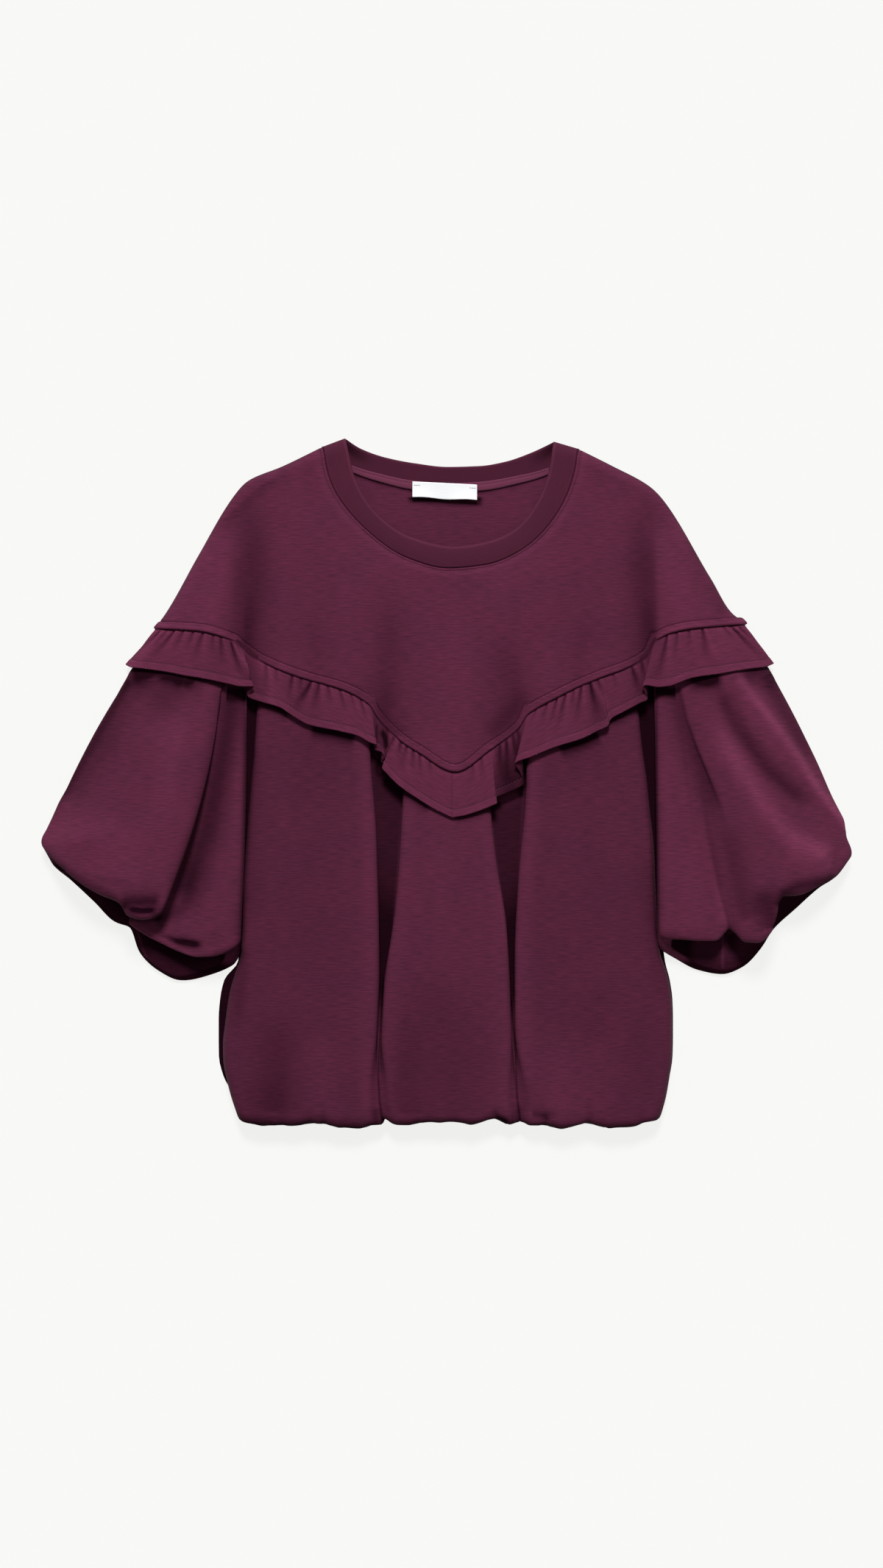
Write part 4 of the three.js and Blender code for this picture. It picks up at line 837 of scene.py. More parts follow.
# painted shade along the hem, then the hem's small gathers, with painted shade in their furrows and painted
# highlights where a tone is below 0
BODY_GATHERS = [
    Fold([(-210, -304), (-150, -310), (-70, -311)], 9, 8, 0, 0.4, (0.01, 0.1)),
    Fold([(-62, -306), (0, -307), (60, -307)], 9, 7, 0, 0.36, (0.01, 0.01)),
    Fold([(60, -308), (130, -312), (210, -305)], 9, 4, 0, 0.3, (0.1, 0.01)),
    Fold([(-172, -258), (-164, -306)], 22, 28, 0, 0.12, (0.5, 0.01)),
    Fold([(-66, -291), (-66, -312)], 6, 5, 0, 0.5, (0.3, 0.01)),
    Fold([(64, -288), (63, -312)], 5, 6, 0, 0.4, (0.3, 0.01)),
    Fold([(-166, -266), (-170, -330)], 5, 5, 1.0, 0, (0.6, 0.01)),
    Fold([(-150, -272), (-151, -330)], 4, 4, -0.9, 0.05, (0.6, 0.01)),
    Fold([(-124, -284), (-126, -330)], 5, 5, -1.2, 0.14, (0.6, 0.01)),
    Fold([(-112, -288), (-112, -330)], 3, 3, -1.5, 0.2, (0.6, 0.01)),
    Fold([(-98, -276), (-99, -330)], 4, 4, 0.9, -0.05, (0.6, 0.01)),
    Fold([(-75, -292), (-72, -330)], 4, 4, -1.1, 0.2, (0.6, 0.01)),
    Fold([(-30, -280), (-27, -330)], 4, 4, -1.0, 0.06, (0.6, 0.01)),
    Fold([(-8, -268), (-7, -330)], 5, 5, 0.8, -0.02, (0.6, 0.01)),
    Fold([(20, -280), (21, -330)], 4, 4, 0.9, 0, (0.6, 0.01)),
    Fold([(40, -292), (46, -302), (56, -307)], 3, 3, -1.8, 0.35, (0.4, 0.1)),
    Fold([(50, -290), (52, -330)], 3, 3, -1.2, 0.1, (0.6, 0.01)),
    Fold([(74, -300), (88, -301), (92, -306)], 2.2, 3.5, -1.6, 0.5, (0.2, 0.2)),
    Fold([(88, -286), (87, -330)], 3, 3, -1.3, 0.1, (0.6, 0.01)),
    Fold([(102, -274), (103, -330)], 5, 5, 0.8, -0.05, (0.6, 0.01)),
    Fold([(127, -280), (128, -330)], 4, 4, -1.5, 0.14, (0.6, 0.01)),
    Fold([(146, -272), (147, -330)], 4, 4, 0.7, 0, (0.6, 0.01)),
    Fold([(176, -290), (178, -330)], 4, 4, -1.0, 0.12, (0.6, 0.01)),
]


def moved(edge, inset):
    """An edge moved sideways."""
    return lambda y: edge(y) + inset


def body_lines():
    first_right, middle_left, middle_right, last_left = PANEL_EDGE.values()
    margin = PANEL_MARGIN
    return [
        *side_lines(BODY_LEFT, 1),
        *panel_lines(moved(BODY_LEFT, SIDE_MARGIN), moved(first_right, -margin), SIDE_SHADE),
        *pleat(first_right, middle_left),
        *panel_lines(moved(middle_left, margin), moved(middle_right, -margin), MIDDLE_SHADE),
        *pleat(middle_right, last_left),
        *panel_lines(moved(last_left, margin), moved(BODY_RIGHT, -SIDE_MARGIN), SIDE_SHADE),
        *list(side_lines(BODY_RIGHT, -1))[::-1],
    ]


def front_body():
    lines = body_lines()
    shares = np.concatenate([np.linspace(0, 0.6, 10), np.linspace(0.65, 1, 10)])
    grid = []
    for number, (place, height, depth) in enumerate(lines):
        top_y = yoke_seam(place(60, 0)) + TUCK
        hem_y = front_hem(place(-304, 1)) + BODY_CUFF["roll"] + CLOTH / 2
        points = []
        for v in shares:
            y = mix(top_y, hem_y, v)
            x = place(y, v)
            points.append((x, y, height(x, v), depth(v)))
        x, y, z, low = points[-1]
        held = ease(min(number, len(lines) - 1 - number) / 6)
        inside = np.array((x * BODY_CUFF["drawn_in"], y, mix(z, BODY_CUFF["height"], held)))
        # round the hem and inside, the painted shade deepens to full
        for share in (0.2, 0.4, 0.6, 0.8, 1):
            turn = share * np.pi
            point = mix(np.array((x, y, z)), inside, (1 - np.cos(turn)) / 2)
            points.append((*(point - [0, BODY_CUFF["roll"] * np.sin(turn), 0]), mix(low, 1, share)))
        points.append((*(inside + [0, BODY_CUFF["depth"] / 2, 0]), 1))
        points.append((inside[0] * BODY_CUFF["tapers"], y + BODY_CUFF["depth"], inside[2], 1))
        grid.append([tuple(map(float, point)) for point in points])
    grid = relaxed(refined(np.array(grid), 2.9, 3.6), 1)
    grid, depth = grid[..., :3], grid[..., 3]
    inside = np.cumsum(np.gradient(grid[..., 1], axis=1) > 0, axis=1) > 0
    folds, tone = folded(grid, BODY_FOLDS + BODY_GATHERS + RUFFLE_SHADE)
    grid = raised(grid, np.where(inside, 0, folds))
    return cloth("front_body_cloth", grid, CLOTH, depth=depth + tone, inside=1, steep=0.14, laid=True)


front_body_sheet = front_body()

# %% [markdown]
# ## Sleeves
#
# Each sleeve is a tube, wide at the hem and gathered into a turned-in cuff that makes it balloon. Every
# line of it runs from the armhole to the rim: its share along the seam, where it ends on the rim, its
# height halfway down, and how far it bows sideways. The front lies in two or three deep folds over a
# back that rests flat and reaches further down. A front and a back sheet would be simpler, but then the
# mouth would have no inside, and here one looks into it.

# %% Sleeves
SleeveLine = namedtuple("SleeveLine", "seam x y mid z bow")
SLEEVE_CUFF = {"roll": 4, "depth": 34, "level": 13}
ARM_EDGE_HEIGHT = 3.4
LEFT_SLEEVE = dict(
    front=[
        (0, -188.5, -147.5, 9, 13, 1.5), (0.05, -193, -150.5, 17, 21, 3), (0.1, -207, -156, 20, 25, 5),
        (0.14, -223, -157, 20, 25, 7), (0.17, -240, -152.5, 18, 21, 9), (0.195, -258, -144.5, 17, 19, 10),
        (0.215, -276, -135, 18, 19, 11), (0.228, -289, -125, 19, 21, 12), (0.238, -270, -119, 21, 28, 13),
        (0.25, -257, -116.5, 24, 36, 14),
        (0.28, -261, -119, 27, 41, 13), (0.36, -275, -121.5, 31, 42, 9), (0.46, -289, -118, 35, 41, 5),
        (0.56, -298, -105.5, 35, 39, 1), (0.68, -317, -97.5, 34, 38, -3), (0.8, -336, -86.5, 31, 35, -6),
        (0.9, -350, -76, 26, 29, -8), (0.96, -360, -67, 19, 21, -8),
    ],
    edge=(1, -369, -56, 11, 13, -8),
    back=[
        (0.96, -362, -72, 3, 5, -8), (0.88, -347, -85, BACK, BACK, -7), (0.74, -324, -106, BACK, BACK, -4),
        (0.6, -304, -125, BACK, BACK, 0), (0.48, -290, -130, BACK, BACK, 2),
        (0.38, -280, -154, BACK, BACK, 4), (0.26, -262, -171, BACK, BACK, 5),
        (0.15, -240, -180, BACK, BACK, 5), (0.07, -209, -173, BACK, BACK, 4),
        (0.02, -191.5, -163, 2.5, 4, 4),
    ],
)
RIGHT_SLEEVE = dict(
    front=[
        (0, 190.5, -149, 9, 13, 1), (0.05, 193, -140, 17, 22, -1), (0.11, 209, -140.5, 20, 27, -4),
        (0.17, 224, -141.5, 20, 29, -6), (0.23, 239, -141.5, 19, 29, -8), (0.28, 247, -134.5, 17, 26, -9),
        (0.32, 252.5, -130, 18, 24, -9), (0.37, 259, -134.5, 22, 29, -8), (0.42, 268, -142.5, 27, 34, -6),
        (0.48, 280, -143, 31, 37, -4), (0.54, 291, -135, 33, 38, -2), (0.6, 297, -122, 33, 38, 0),
        (0.66, 300, -108, 32, 38, 2), (0.72, 305, -100, 33, 37, 4), (0.8, 321, -98, 33, 35, 7),
        (0.88, 338, -91, 29, 31, 9), (0.95, 354, -81, 21, 23, 9),
    ],
    edge=(1, 368, -66, 11, 13, 8),
    back=[
        (0.96, 356, -83, 3, 5, 8), (0.88, 342, -92, BACK, BACK, 7), (0.74, 319, -112, BACK, BACK, 4),
        (0.6, 297, -132, BACK, BACK, 0), (0.46, 285, -150, BACK, BACK, -2),
        (0.34, 268, -167, BACK, BACK, -4), (0.22, 248, -174, BACK, BACK, -4),
        (0.11, 226, -170, BACK, BACK, -4), (0.03, 206, -160, 2.5, 4, -3),
    ],
)


def sleeve_grid(rows, armpit, outer):
    """The tube's lines, each from the armhole to the rim, round it and back up inside."""
    roll, level = SLEEVE_CUFF["roll"], SLEEVE_CUFF["level"]
    front, back = [*rows["front"], rows["edge"]], rows["back"]
    lines = [("front", SleeveLine(*row)) for row in front] + [("back", SleeveLine(*row)) for row in back]
    middle = np.mean([(line.x, line.y) for _, line in lines], axis=0)
    grid = []
    for side, line in lines:
        x = mix(armpit, outer + math.copysign(3, armpit - outer), line.seam)
        at_edge = min(line.seam, 1 - line.seam) < 0.03
        y = back_seam(x) - BACK_SEAM_GAP if side == "back" or at_edge else yoke_seam(x) + tuck_at(x)
        on_front = ARM_EDGE_HEIGHT if at_edge else mix(ARM_EDGE_HEIGHT, panel_top(x), under_yoke(x))
        outwards = math.copysign(0.5, x - middle[0]) if at_edge else 0
        start = np.array([x + outwards, float(y), BACK if side == "back" else float(on_front)])
        along = unit(np.array([line.x - start[0], line.y - start[1], 0]))
        end = np.array([line.x, line.y, line.z]) - along * roll
        low, high = start[2], line.mid
        rise = through(
            (0, low), (0.06, mix(low, high, 0.02)), (0.14, mix(low, high, 0.12)),
            (0.5, high), (0.85, mix(high, line.z, 0.9)), (1, line.z),
        )
        points = []
        for v in (0, 0.06, 0.14, 0.24, 0.35, 0.47, 0.6, 0.73, 0.85, 0.94, 1):
            point = mix(start, end, v) + [line.bow * 4 * v * (1 - v), 0, 0]
            points.append([point[0], point[1], float(rise(v))])
        inner = mix(end, np.array([*middle, level]), np.array([0.16, 0.1, 0.42]))
        for turn in np.array([0.2, 0.4, 0.6, 0.8]) * np.pi:
            points.append(mix(end, inner, (1 - np.cos(turn)) / 2) + along * roll * np.sin(turn))
        points.append(inner - along * 3)
        deep = mix(inner, np.array([*middle, level]), np.array([0.18, 0, 0.15]))
        points.append(deep - along * SLEEVE_CUFF["depth"])
        grid.append(points)
    return relaxed(refined(np.array(grid, float), 2.6, 3, True), 1, True)


def sleeve(name, grid, folds, inside_folds, gloom):
    """gloom is the painted shade of the back wall inside the mouth, at the rim and deeper in."""
    on_front = ease((grid[..., 2] - 4) / 3)
    rim = np.argmin(grid[..., 1].mean(0)) + 2
    inside = np.arange(grid.shape[1]) > rim
    run = np.cumsum(np.linalg.norm(np.diff(grid, axis=1, prepend=grid[:, :1]), axis=-1), axis=1)
    past_rim = run - run[:, rim : rim + 1]
    at_back = ease((5 - grid[:, rim - 5, 2:3]) / 3)
    height, tone = folded(grid, folds + RUFFLE_SHADE)
    # painted shade from the folds and the ruffle, less a painted highlight along the rim's crest
    face = (tone - 0.16 * bump(past_rim, -6, 1.6)) * on_front
    # painted shade on the back layer's turned rim
    turned = at_back * 0.92 * ease((grid[..., 2] - 1.6) / 1.2) * (past_rim > -9)
    # painted shade on the back wall seen inside the mouth
    seen_within = mix(*gloom, ease(past_rim / 20))
    within = mix(0.95, seen_within, at_back) + folded(grid, inside_folds)[1] * at_back
    depth = np.where(inside, within, np.where(turned > 0.01, np.maximum(face, turned), face))
    grid = raised(grid, np.where(inside, 0, height * on_front), True)
    return cloth(name, grid, CLOTH, True, depth=depth, inside=0.6, laid=True)


# each fold's tone is painted shade, or a painted highlight where it is below 0
LEFT_SLEEVE_FOLDS = [
    # the shade that the outer fold throws on the panel behind it
    Fold(
        [
            (-196, 84), (-200, 50), (-206, 20), (-210, 0), (-214, -20), (-219, -42), (-228, -66),
            (-235, -90), (-242, -112),
        ],
        12, 15, -1, 0.6, (0.01, 0.1),
    ),
    Fold([(-266, -124), (-240, -113), (-222, -100)], 7, 7, -0.6, 0.4, (0.05, 0.5)),
    Fold([(-226, -62), (-233, -84), (-243, -112)], 7, 8, -0.6, 0.1, (0.4, 0.05)),
    Fold([(-190, -147), (-201, -152), (-214, -154)], 4, 3, 0, 0.3, (0.2, 0.2)),
    Fold([(-288, -124), (-262, -139), (-244, -147)], 3, 2, 0, -0.2, (0.1, 0.2)),
    Fold([(-258, 96), (-250, 50)], 16, 14, 0, 0.26, (0.01, 0.6)),
    Fold([(-232, 94), (-240, 86)], 8, 8, 0, 0.3, (0.01, 0.5)),
    Fold([(-285, 100), (-312, 45), (-349, -22)], 14, 15, -1.8, 0.34, (0.05, 0.15)),
    Fold([(-262, 85), (-300, 30), (-330, -20)], 20, 20, -1.0, 0.12, (0.05, 0.5)),
    Fold([(-372, -52), (-335, -48), (-290, -36)], 9, 15, 1.4, -0.22, (0.02, 0.5)),
    Fold([(-290, -20), (-302, -90)], 24, 24, 1.2, -0.16, (0.5, 0.1)),
    Fold([(-232, 75), (-246, 20), (-262, -60)], 15, 13, 1.2, -0.14),
    Fold([(-298, -107), (-274, -106), (-256, -106)], 9, 8, -0.9, 0.72, (0.2, 0.2)),
    # painted shade in the thin mouth under the outer fold's hem, and a painted highlight on the lip above it
    Fold([(-290, -112.5), (-275, -114), (-261, -113)], 3, 2.4, -1.6, 0.95, (0.3, 0.3)),
    Fold([(-290, -120), (-276, -123), (-262, -122), (-254, -114)], 2.4, 2.4, 0, 0.5, (0.2, 0.3)),
    Fold([(-288, -109.5), (-275, -110.8), (-257, -109.5)], 1.8, 1.6, 0.5, -0.22, (0.2, 0.2)),
    Fold([(-367, -62), (-336, -82), (-300, -102), (-290, -115)], 5, 4, 0, 0.3, (0.05, 0.05)),
    Fold([(-364, -69), (-356, -76), (-343, -82)], 4, 3.5, 0, 0.95, (0.3, 0.3)),
    Fold([(-290, 96), (-318, 47), (-345, 0), (-363, -36)], 5, 5, 0, 0.34, (0.02, 0.2)),
    Fold([(-290, 96), (-277, 97), (-264, 97)], 6, 5, 0, 0.42, (0.45, 0.45)),
    Fold([(-252, 95), (-239, 94), (-226, 91)], 6, 5, 0, 0.38, (0.45, 0.45)),
    Fold([(-188, 70), (-189, -120)], 5, 5, 0.8, -0.1),
    # the inner panel's mouth opens from a fine crease into a dark lens of painted shade, with a painted
    # highlight above it
    Fold([(-266, -134), (-246, -141.5), (-218, -146)], 4.6, 3.8, -1.8, 1.2, (0.6, 0.25)),
    Fold([(-262, -132.5), (-244, -138.5), (-219, -141.5)], 1.8, 1.8, 0.5, -0.2, (0.3, 0.2)),
    Fold([(-201, 85), (-178, 83)], 7, 7, 0, 0.9, (0.02, 0.02)),
    Fold([(-215, -132), (-206, -150)], 9, 9, -0.8, 0.12),
    Fold([(-262, 95), (-268, 60)], 12, 12, 0.8, -0.04, (0.01, 0.5)),
    Fold([(-240, 92), (-246, 70)], 8, 8, -0.8, 0.12, (0.01, 0.6)),
]
# each fold's tone is painted shade, or a painted highlight where it is below 0
RIGHT_SLEEVE_FOLDS = [
    Fold(
        [(209, 90), (215, 60), (225, 30), (237, 0), (245, -20), (252, -45)],
        14, 2, -2.5, 0.44, (0.02, 0.3),
    ),
    Fold([(247, -30), (256, -70), (263, -105), (270, -128)], 7, 14, -1.6, 0.28, (0.3, 0.1)),
    Fold([(244, 88), (262, 50), (288, 13), (312, -8), (336, -24)], 8, 9, -2.2, 0.5, (0.1, 0.2)),
    Fold([(236, 66), (252, 30), (266, 8), (284, -20), (306, -48), (345, -68)], 9, 10, 1.9, -0.5, (0.3, 0.05)),
    Fold([(296, -56), (320, -66), (348, -72)], 12, 14, 0.8, -0.22, (0.3, 0.05)),
    Fold(
        [(262, 98), (276, 78), (291, 57), (304, 39), (318, 20), (333, -3), (349, -23), (366, -44)],
        5, 5, 2.2, -0.5, (0.05, 0.02),
    ),
    Fold([(312, 24), (332, -5), (348, -25), (364, -42)], 2.4, 2.4, 0.8, -0.3, (0.3, 0.02)),
    Fold([(289, 100), (306, 68), (328, 30), (345, 0)], 8, 8, 0, 0.22, (0.02, 0.4)),
    Fold([(222, 91), (239, 93), (256, 95)], 8, 6, 0, 0.34, (0.45, 0.45)),
    Fold([(288, 92), (315, 45), (334, 12)], 6, 16, -0.6, 0.2, (0.02, 0.4)),
    Fold([(194, 40), (197, -60), (199, -136)], 5, 7, 0.8, -0.1, (0.3, 0.02)),
    Fold([(178, 84), (207, 84)], 5, 6, 0, 0.8, (0.02, 0.02)),
    Fold([(212, -40), (222, -132)], 18, 18, 0.5, -0.1, (0.5, 0.02)),
    Fold([(244, -80), (252, -127)], 6, 5, 0.6, -0.3, (0.5, 0.02)),
    Fold([(283, -88), (294, -130)], 13, 11, -1.2, 0.55, (0.4, 0.02)),
    Fold([(222, 96), (240, 97)], 7, 9, 0, 0.3, (0.3, 0.3)),
    Fold([(298, -114), (303, -98), (316, -92), (352, -85)], 6.5, 5.5, -0.8, 0.62, (0.1, 0.1)),
]
# a painted highlight along the sleeve's own seam, seen inside the mouth, and in the right sleeve painted
# shade beside it
LEFT_INSIDE = [Fold([(-286, -120), (-279, -145), (-270, -168)], 0.9, 0.9, 0, -0.4, (0.02, 0.02))]
RIGHT_INSIDE = [
    Fold([(250, -132), (250.5, -168)], 0.9, 0.9, 0, -0.4, (0.02, 0.02)),
    Fold([(257, -136), (258, -156)], 6, 7, 0, 0.3, (0.02, 0.4)),
]
left_tube = sleeve_grid(LEFT_SLEEVE, ARMPIT_LEFT, ARM_LEFT)
right_tube = sleeve_grid(RIGHT_SLEEVE, ARMPIT_RIGHT, ARM_RIGHT)
sleeve_left = sleeve("sleeve_left_cloth", left_tube, LEFT_SLEEVE_FOLDS, LEFT_INSIDE, (0.72, 0.86))
sleeve_right = sleeve("sleeve_right_cloth", right_tube, RIGHT_SLEEVE_FOLDS, RIGHT_INSIDE, (0.72, 0.5))

# %% [markdown]
# ## Ruffle
#
# A gathered strip hangs from the yoke seam. Its rows give where each point of the seam goes to at the
# hem; where the hem's x runs back, the strip folds under itself. Small gathers start sharp at the seam
# and die out lower down. The narrow hem is turned up and stitched 6.5 mm from its edge. A displacement
# over a plain strip could give the gathers but not the places where it folds under, so the strip's own
# grid is laid along the table's rows.

# %% Ruffle
RUFFLE_HEM = 6.5
SET_BACK_HEIGHT = 16.8  # where the hem is lower than this, the strip lies folded back and in shade
# painted shade on ruffle cloth that turns from the light, and painted highlights where a tone is below 0:
# middle, reach, tone at the seam and at the hem
SHADE_AND_HIGHLIGHT_PATCHES = [
    (-131, 17, 0.24, 0.12), (-60, 8, 0.5, 0.4), (131, 9, 0.24, 0.14), (-204, 12, 0.2, 0.1),
    (191, 7, 0.18, 0.1), (56, 11, -0.1, 0.5), (-168, 7, -0.34, -0.24), (-270, 13, -0.34, -0.24),
    (247, 14, -0.12, -0.1), (66, 3.5, 0.1, 0.45),
]
# painted shade in the hollow inside the small curl beside the first pleat
CURL = [
    Fold([(-61, 51), (-57, 42), (-55, 31)], 2.4, 2.4, 0, 0.55, (0.3, 0.2)),
    Fold([(-64.5, 57), (-64.5, 38)], 1.4, 1.4, 0, 0.35, (0.3, 0.2)),
]


def gathering(x, down, first, last):
    """How far the gathers between two ends of the strip sink it, at a share down."""
    sunk = np.zeros((len(x), down.shape[1]))
    for gather in GATHERS:
        if first < gather.seam < last:
            fall = np.minimum(1, down / 0.05) * np.clip(1 - down / gather.reach, 0, None)
            away = (x[:, None] - gather.seam - gather.lean * down) / (1.1 + 3.4 * down)
            wave = 1.25 * np.exp(-(away**2)) - 0.45 * np.exp(-((away - 2.1) ** 2))
            sunk += gather.depth * wave * fall
    return sunk


def seam_points(rows):
    """Places along the seam, so close that the points are about 0.9 mm apart at the seam and the hem."""
    hem_width = np.linalg.norm(np.diff(rows[:, 1:], axis=0), axis=1)
    count = np.maximum(np.ceil(np.maximum(hem_width, np.diff(rows[:, 0])) / 0.9), 2).astype(int)
    parts = [np.linspace(a, b, c, False) for a, b, c in zip(rows[:, 0], rows[1:, 0], count)]
    return np.append(np.concatenate(parts), rows[-1, 0])


def ruffle(name, rows):
    rows = np.array(rows, float)
    x, t = seam_points(rows), graded((0, 0.12, 10), (0.12, 0.86, 34), (0.86, 1, 18))
    end = smooth(rows[:, 0], rows[:, 1:])(x)
    level = mix(ARM_EDGE_HEIGHT + 2, seam_height(x) - RUFFLE_DROP, under_yoke(x))
    seam_y = yoke_seam(x)
    start = np.minimum(-0.8, tuck_at(x) - 0.4)
    down = t[None]
    puff = 0.9 * np.minimum(1, down / 0.1) * (1 - down) * under_yoke(x)[:, None]
    z = mix(level[:, None], end[:, 2:3], down**0.7) + puff
    plan_x = mix(x[:, None], end[:, 0:1], down)
    plan_y = mix((seam_y + start)[:, None], end[:, 1:2], down)
    grid = np.stack([plan_x, plan_y, z], -1)

    sunk = gathering(x, down, rows[0, 0], rows[-1, 0])
    length = np.linalg.norm(grid[:, -1] - grid[:, 0], axis=-1)[:, None]
    from_edge = (1 - down) * length
    on_hem = ease((RUFFLE_HEM - from_edge) / 0.9)
    grid = raised(grid, 0.35 * on_hem - 0.3 * bump(from_edge, RUFFLE_HEM + 0.3, 0.5) - sunk)
    set_back = ease((SET_BACK_HEIGHT - end[:, 2:3]) / 2.3) * (np.abs(x[:, None]) < 196)
    seam_shade = np.where(abs(x) > ON_ARM, 0.2, 0.36)[:, None]
    # painted shade in the gathers' furrows and painted highlights beside them, painted shade where the strip
    # lies folded back, a painted highlight on the hem band, and painted shade in the hem's stitching and at
    # the seam
    tone = 0.3 * sunk + 0.34 * set_back - 0.14 * on_hem
    tone += 0.4 * bump(from_edge, RUFFLE_HEM + 0.4, 0.5) + seam_shade * bump(down * length, 0, 0.6)
    for middle, reach, high, low in SHADE_AND_HIGHLIGHT_PATCHES:
        tone += bump(x, middle, reach)[:, None] * mix(high, low, down)
    tone += folded(grid, CURL)[1]

    tucked = seam_y + np.maximum(start + 1.2, np.minimum(tuck_at(x), TUCK - 1))
    allowance = [np.stack([x, mix(tucked, seam_y + start, share), level], -1) for share in (0, 0.5)]
    grid = np.concatenate([np.stack(allowance, 1), grid], 1)
    # the seam allowance under the yoke gets painted shade
    tone = np.concatenate([np.full((len(x), 2), 0.6), tone], 1)
    return cloth(name, grid, RUFFLE_CLOTH, depth=tone, inside=0.5)


ruffle_left = ruffle("ruffle_left_cloth", LEFT_RUFFLE)
ruffle_right = ruffle("ruffle_right_cloth", RIGHT_RUFFLE)

# %% [markdown]
# ## Neckband, tape and label
#
# The rib neckband is folded double, so it is thick and domed. It stands up from the neck seam all round,
# and the back half of it shows its inside. A curve with a bevel would give an even tube; a closed grid
# between the band's edge and its seam can be flat and of uneven width. A tape of the garment's cloth
# covers the back neck seam, with a satin label caught under its lower edge. Both are short strips, so
# a grid along the seam is enough.

# %% Neckband, tape and label
def neckband():
    back_height = RIB / 2
    middle, swing = (NECK_HEIGHT + back_height) / 2, (NECK_HEIGHT - back_height) / 2
    t = np.linspace(0, 1, 22)
    near = np.linspace(0, 0.1, 22) ** 1.25 * 0.1 / 0.1**1.25 + 0.003
    s = np.concatenate([near[:-1], np.linspace(near[-1], 1 - near[-1], 150), (1 - near)[::-1][1:]])
    dome = 1.1 * np.sin(np.pi * np.clip(t, 0.02, 0.98)) ** 0.5
    halves = []
    for edge, seam, side in ((front_neck_edge, front_neck_seam, 1), (back_neck_edge, back_neck_seam, -1)):
        turned = np.sqrt(1 - (1 - np.clip(np.minimum(s, 1 - s) / 0.035, 0, 1)) ** 2)
        plan = mix(edge(s)[:, None], seam(s)[:, None], t[None, :, None])
        height = (middle + side * swing * turned)[:, None] + np.maximum(side, 0) * dome * turned[:, None]
        halves.append(np.concatenate([plan, height[..., None]], -1))
    grid = np.concatenate([halves[0], halves[1][::-1]])
    # the band a little darker all over, a painted highlight along its free edge and just above its seam, and
    # painted shade in the seam
    tone = 0.06 + lined(t, [(0.03, 0.04, -0.42), (1, 0.04, 0.5), (0.92, 0.03, -0.16)])
    along = abs(grid[..., 0] - 3) / 95
    at_back = np.arange(len(grid))[:, None] >= len(s)
    # the back half gets painted shade, most towards the shoulders and the band's edge
    tone = tone + at_back * (0.12 + 0.55 * ease((along - 0.7) / 0.3) * ease((0.75 - t) / 0.5))
    return cloth("neckband_cloth", grid, RIB, True, depth=tone, inside=0.1, steep=0.1)


def along_neck(s, t, drop, depth, height):
    """A strip that starts drop mm below the back neck seam and is deepest at its middle."""
    path = back_neck_seam(s)
    y = path[:, 1:2] - drop - depth * t[None] * (0.5 + 0.5 * np.sin(np.pi * s[:, None]))
    return np.stack([np.broadcast_to(path[:, 0:1], y.shape), y, np.broadcast_to(height, y.shape)], -1)


def neck_tape():
    s, t = np.linspace(0.13, 0.87, 160), np.linspace(0, 1, 9)
    height = mix(RIB, CLOTH, ease(t / 0.5))[None] + SEWN + TRIM / 2 + 0.15 * np.sin(np.pi * t)[None]
    # a painted highlight along the tape's upper half, and painted shade in a fine line and along its lower
    # edge
    tone = lined(t, [(0.36, 0.3, -0.4), (0.62, 0.06, 0.25), (1, 0.08, 0.3)])
    return cloth("neck_tape_cloth", along_neck(s, t, -2.4, 8, height), TRIM, depth=tone, steep=0)


LABEL = {"left": -32, "right": 26.5, "top_left": 275.5, "top_right": 272.6, "drop": 14, "curl": 1.6}


def label():
    s, t = np.linspace(0, 1, 60)[:, None], np.linspace(0, 1, 18)[None]
    x = mix(LABEL["left"], LABEL["right"], s) + 0 * t
    y = mix(LABEL["top_left"], LABEL["top_right"], s) - LABEL["drop"] * t + 0.5 * t * np.sin(9 * s)
    curl = LABEL["curl"] * t * t * (0.6 + 0.4 * np.sin(8 * s + 1))
    return cloth("label_cloth", np.stack([x, y, RIB + 2 * SEWN + 1.5 * TRIM + curl], -1), 0.5, steep=0)


neckband_sheet = neckband()
tape_sheet = neck_tape()
label_sheet = label()

# %% [markdown]
# ## Stitching
#
# Every visible row of stitching is the same small set of nodes: a path is divided at the stitch pitch and
# one stitch, a long bead of thread, is laid along it at each point. An Array modifier on a curve could
# do it too, but it would twist where the cloth turns. Here the path carries the cloth's normal at each
# point, so the stitches lie down on the cloth.


# %% Rows of stitches
def add_node(tree, kind, inputs=None, **settings):
    """A node with its settings. An input, by its name or number, is a plain value or another node's
    output to link from."""
    node = tree.nodes.new(kind)
    for name, value in settings.items():
        setattr(node, name, value)
    for name, value in (inputs or {}).items():
        if isinstance(value, bpy.types.NodeSocket):
            tree.links.new(value, node.inputs[name])
        else:
            node.inputs[name].default_value = value
    return node


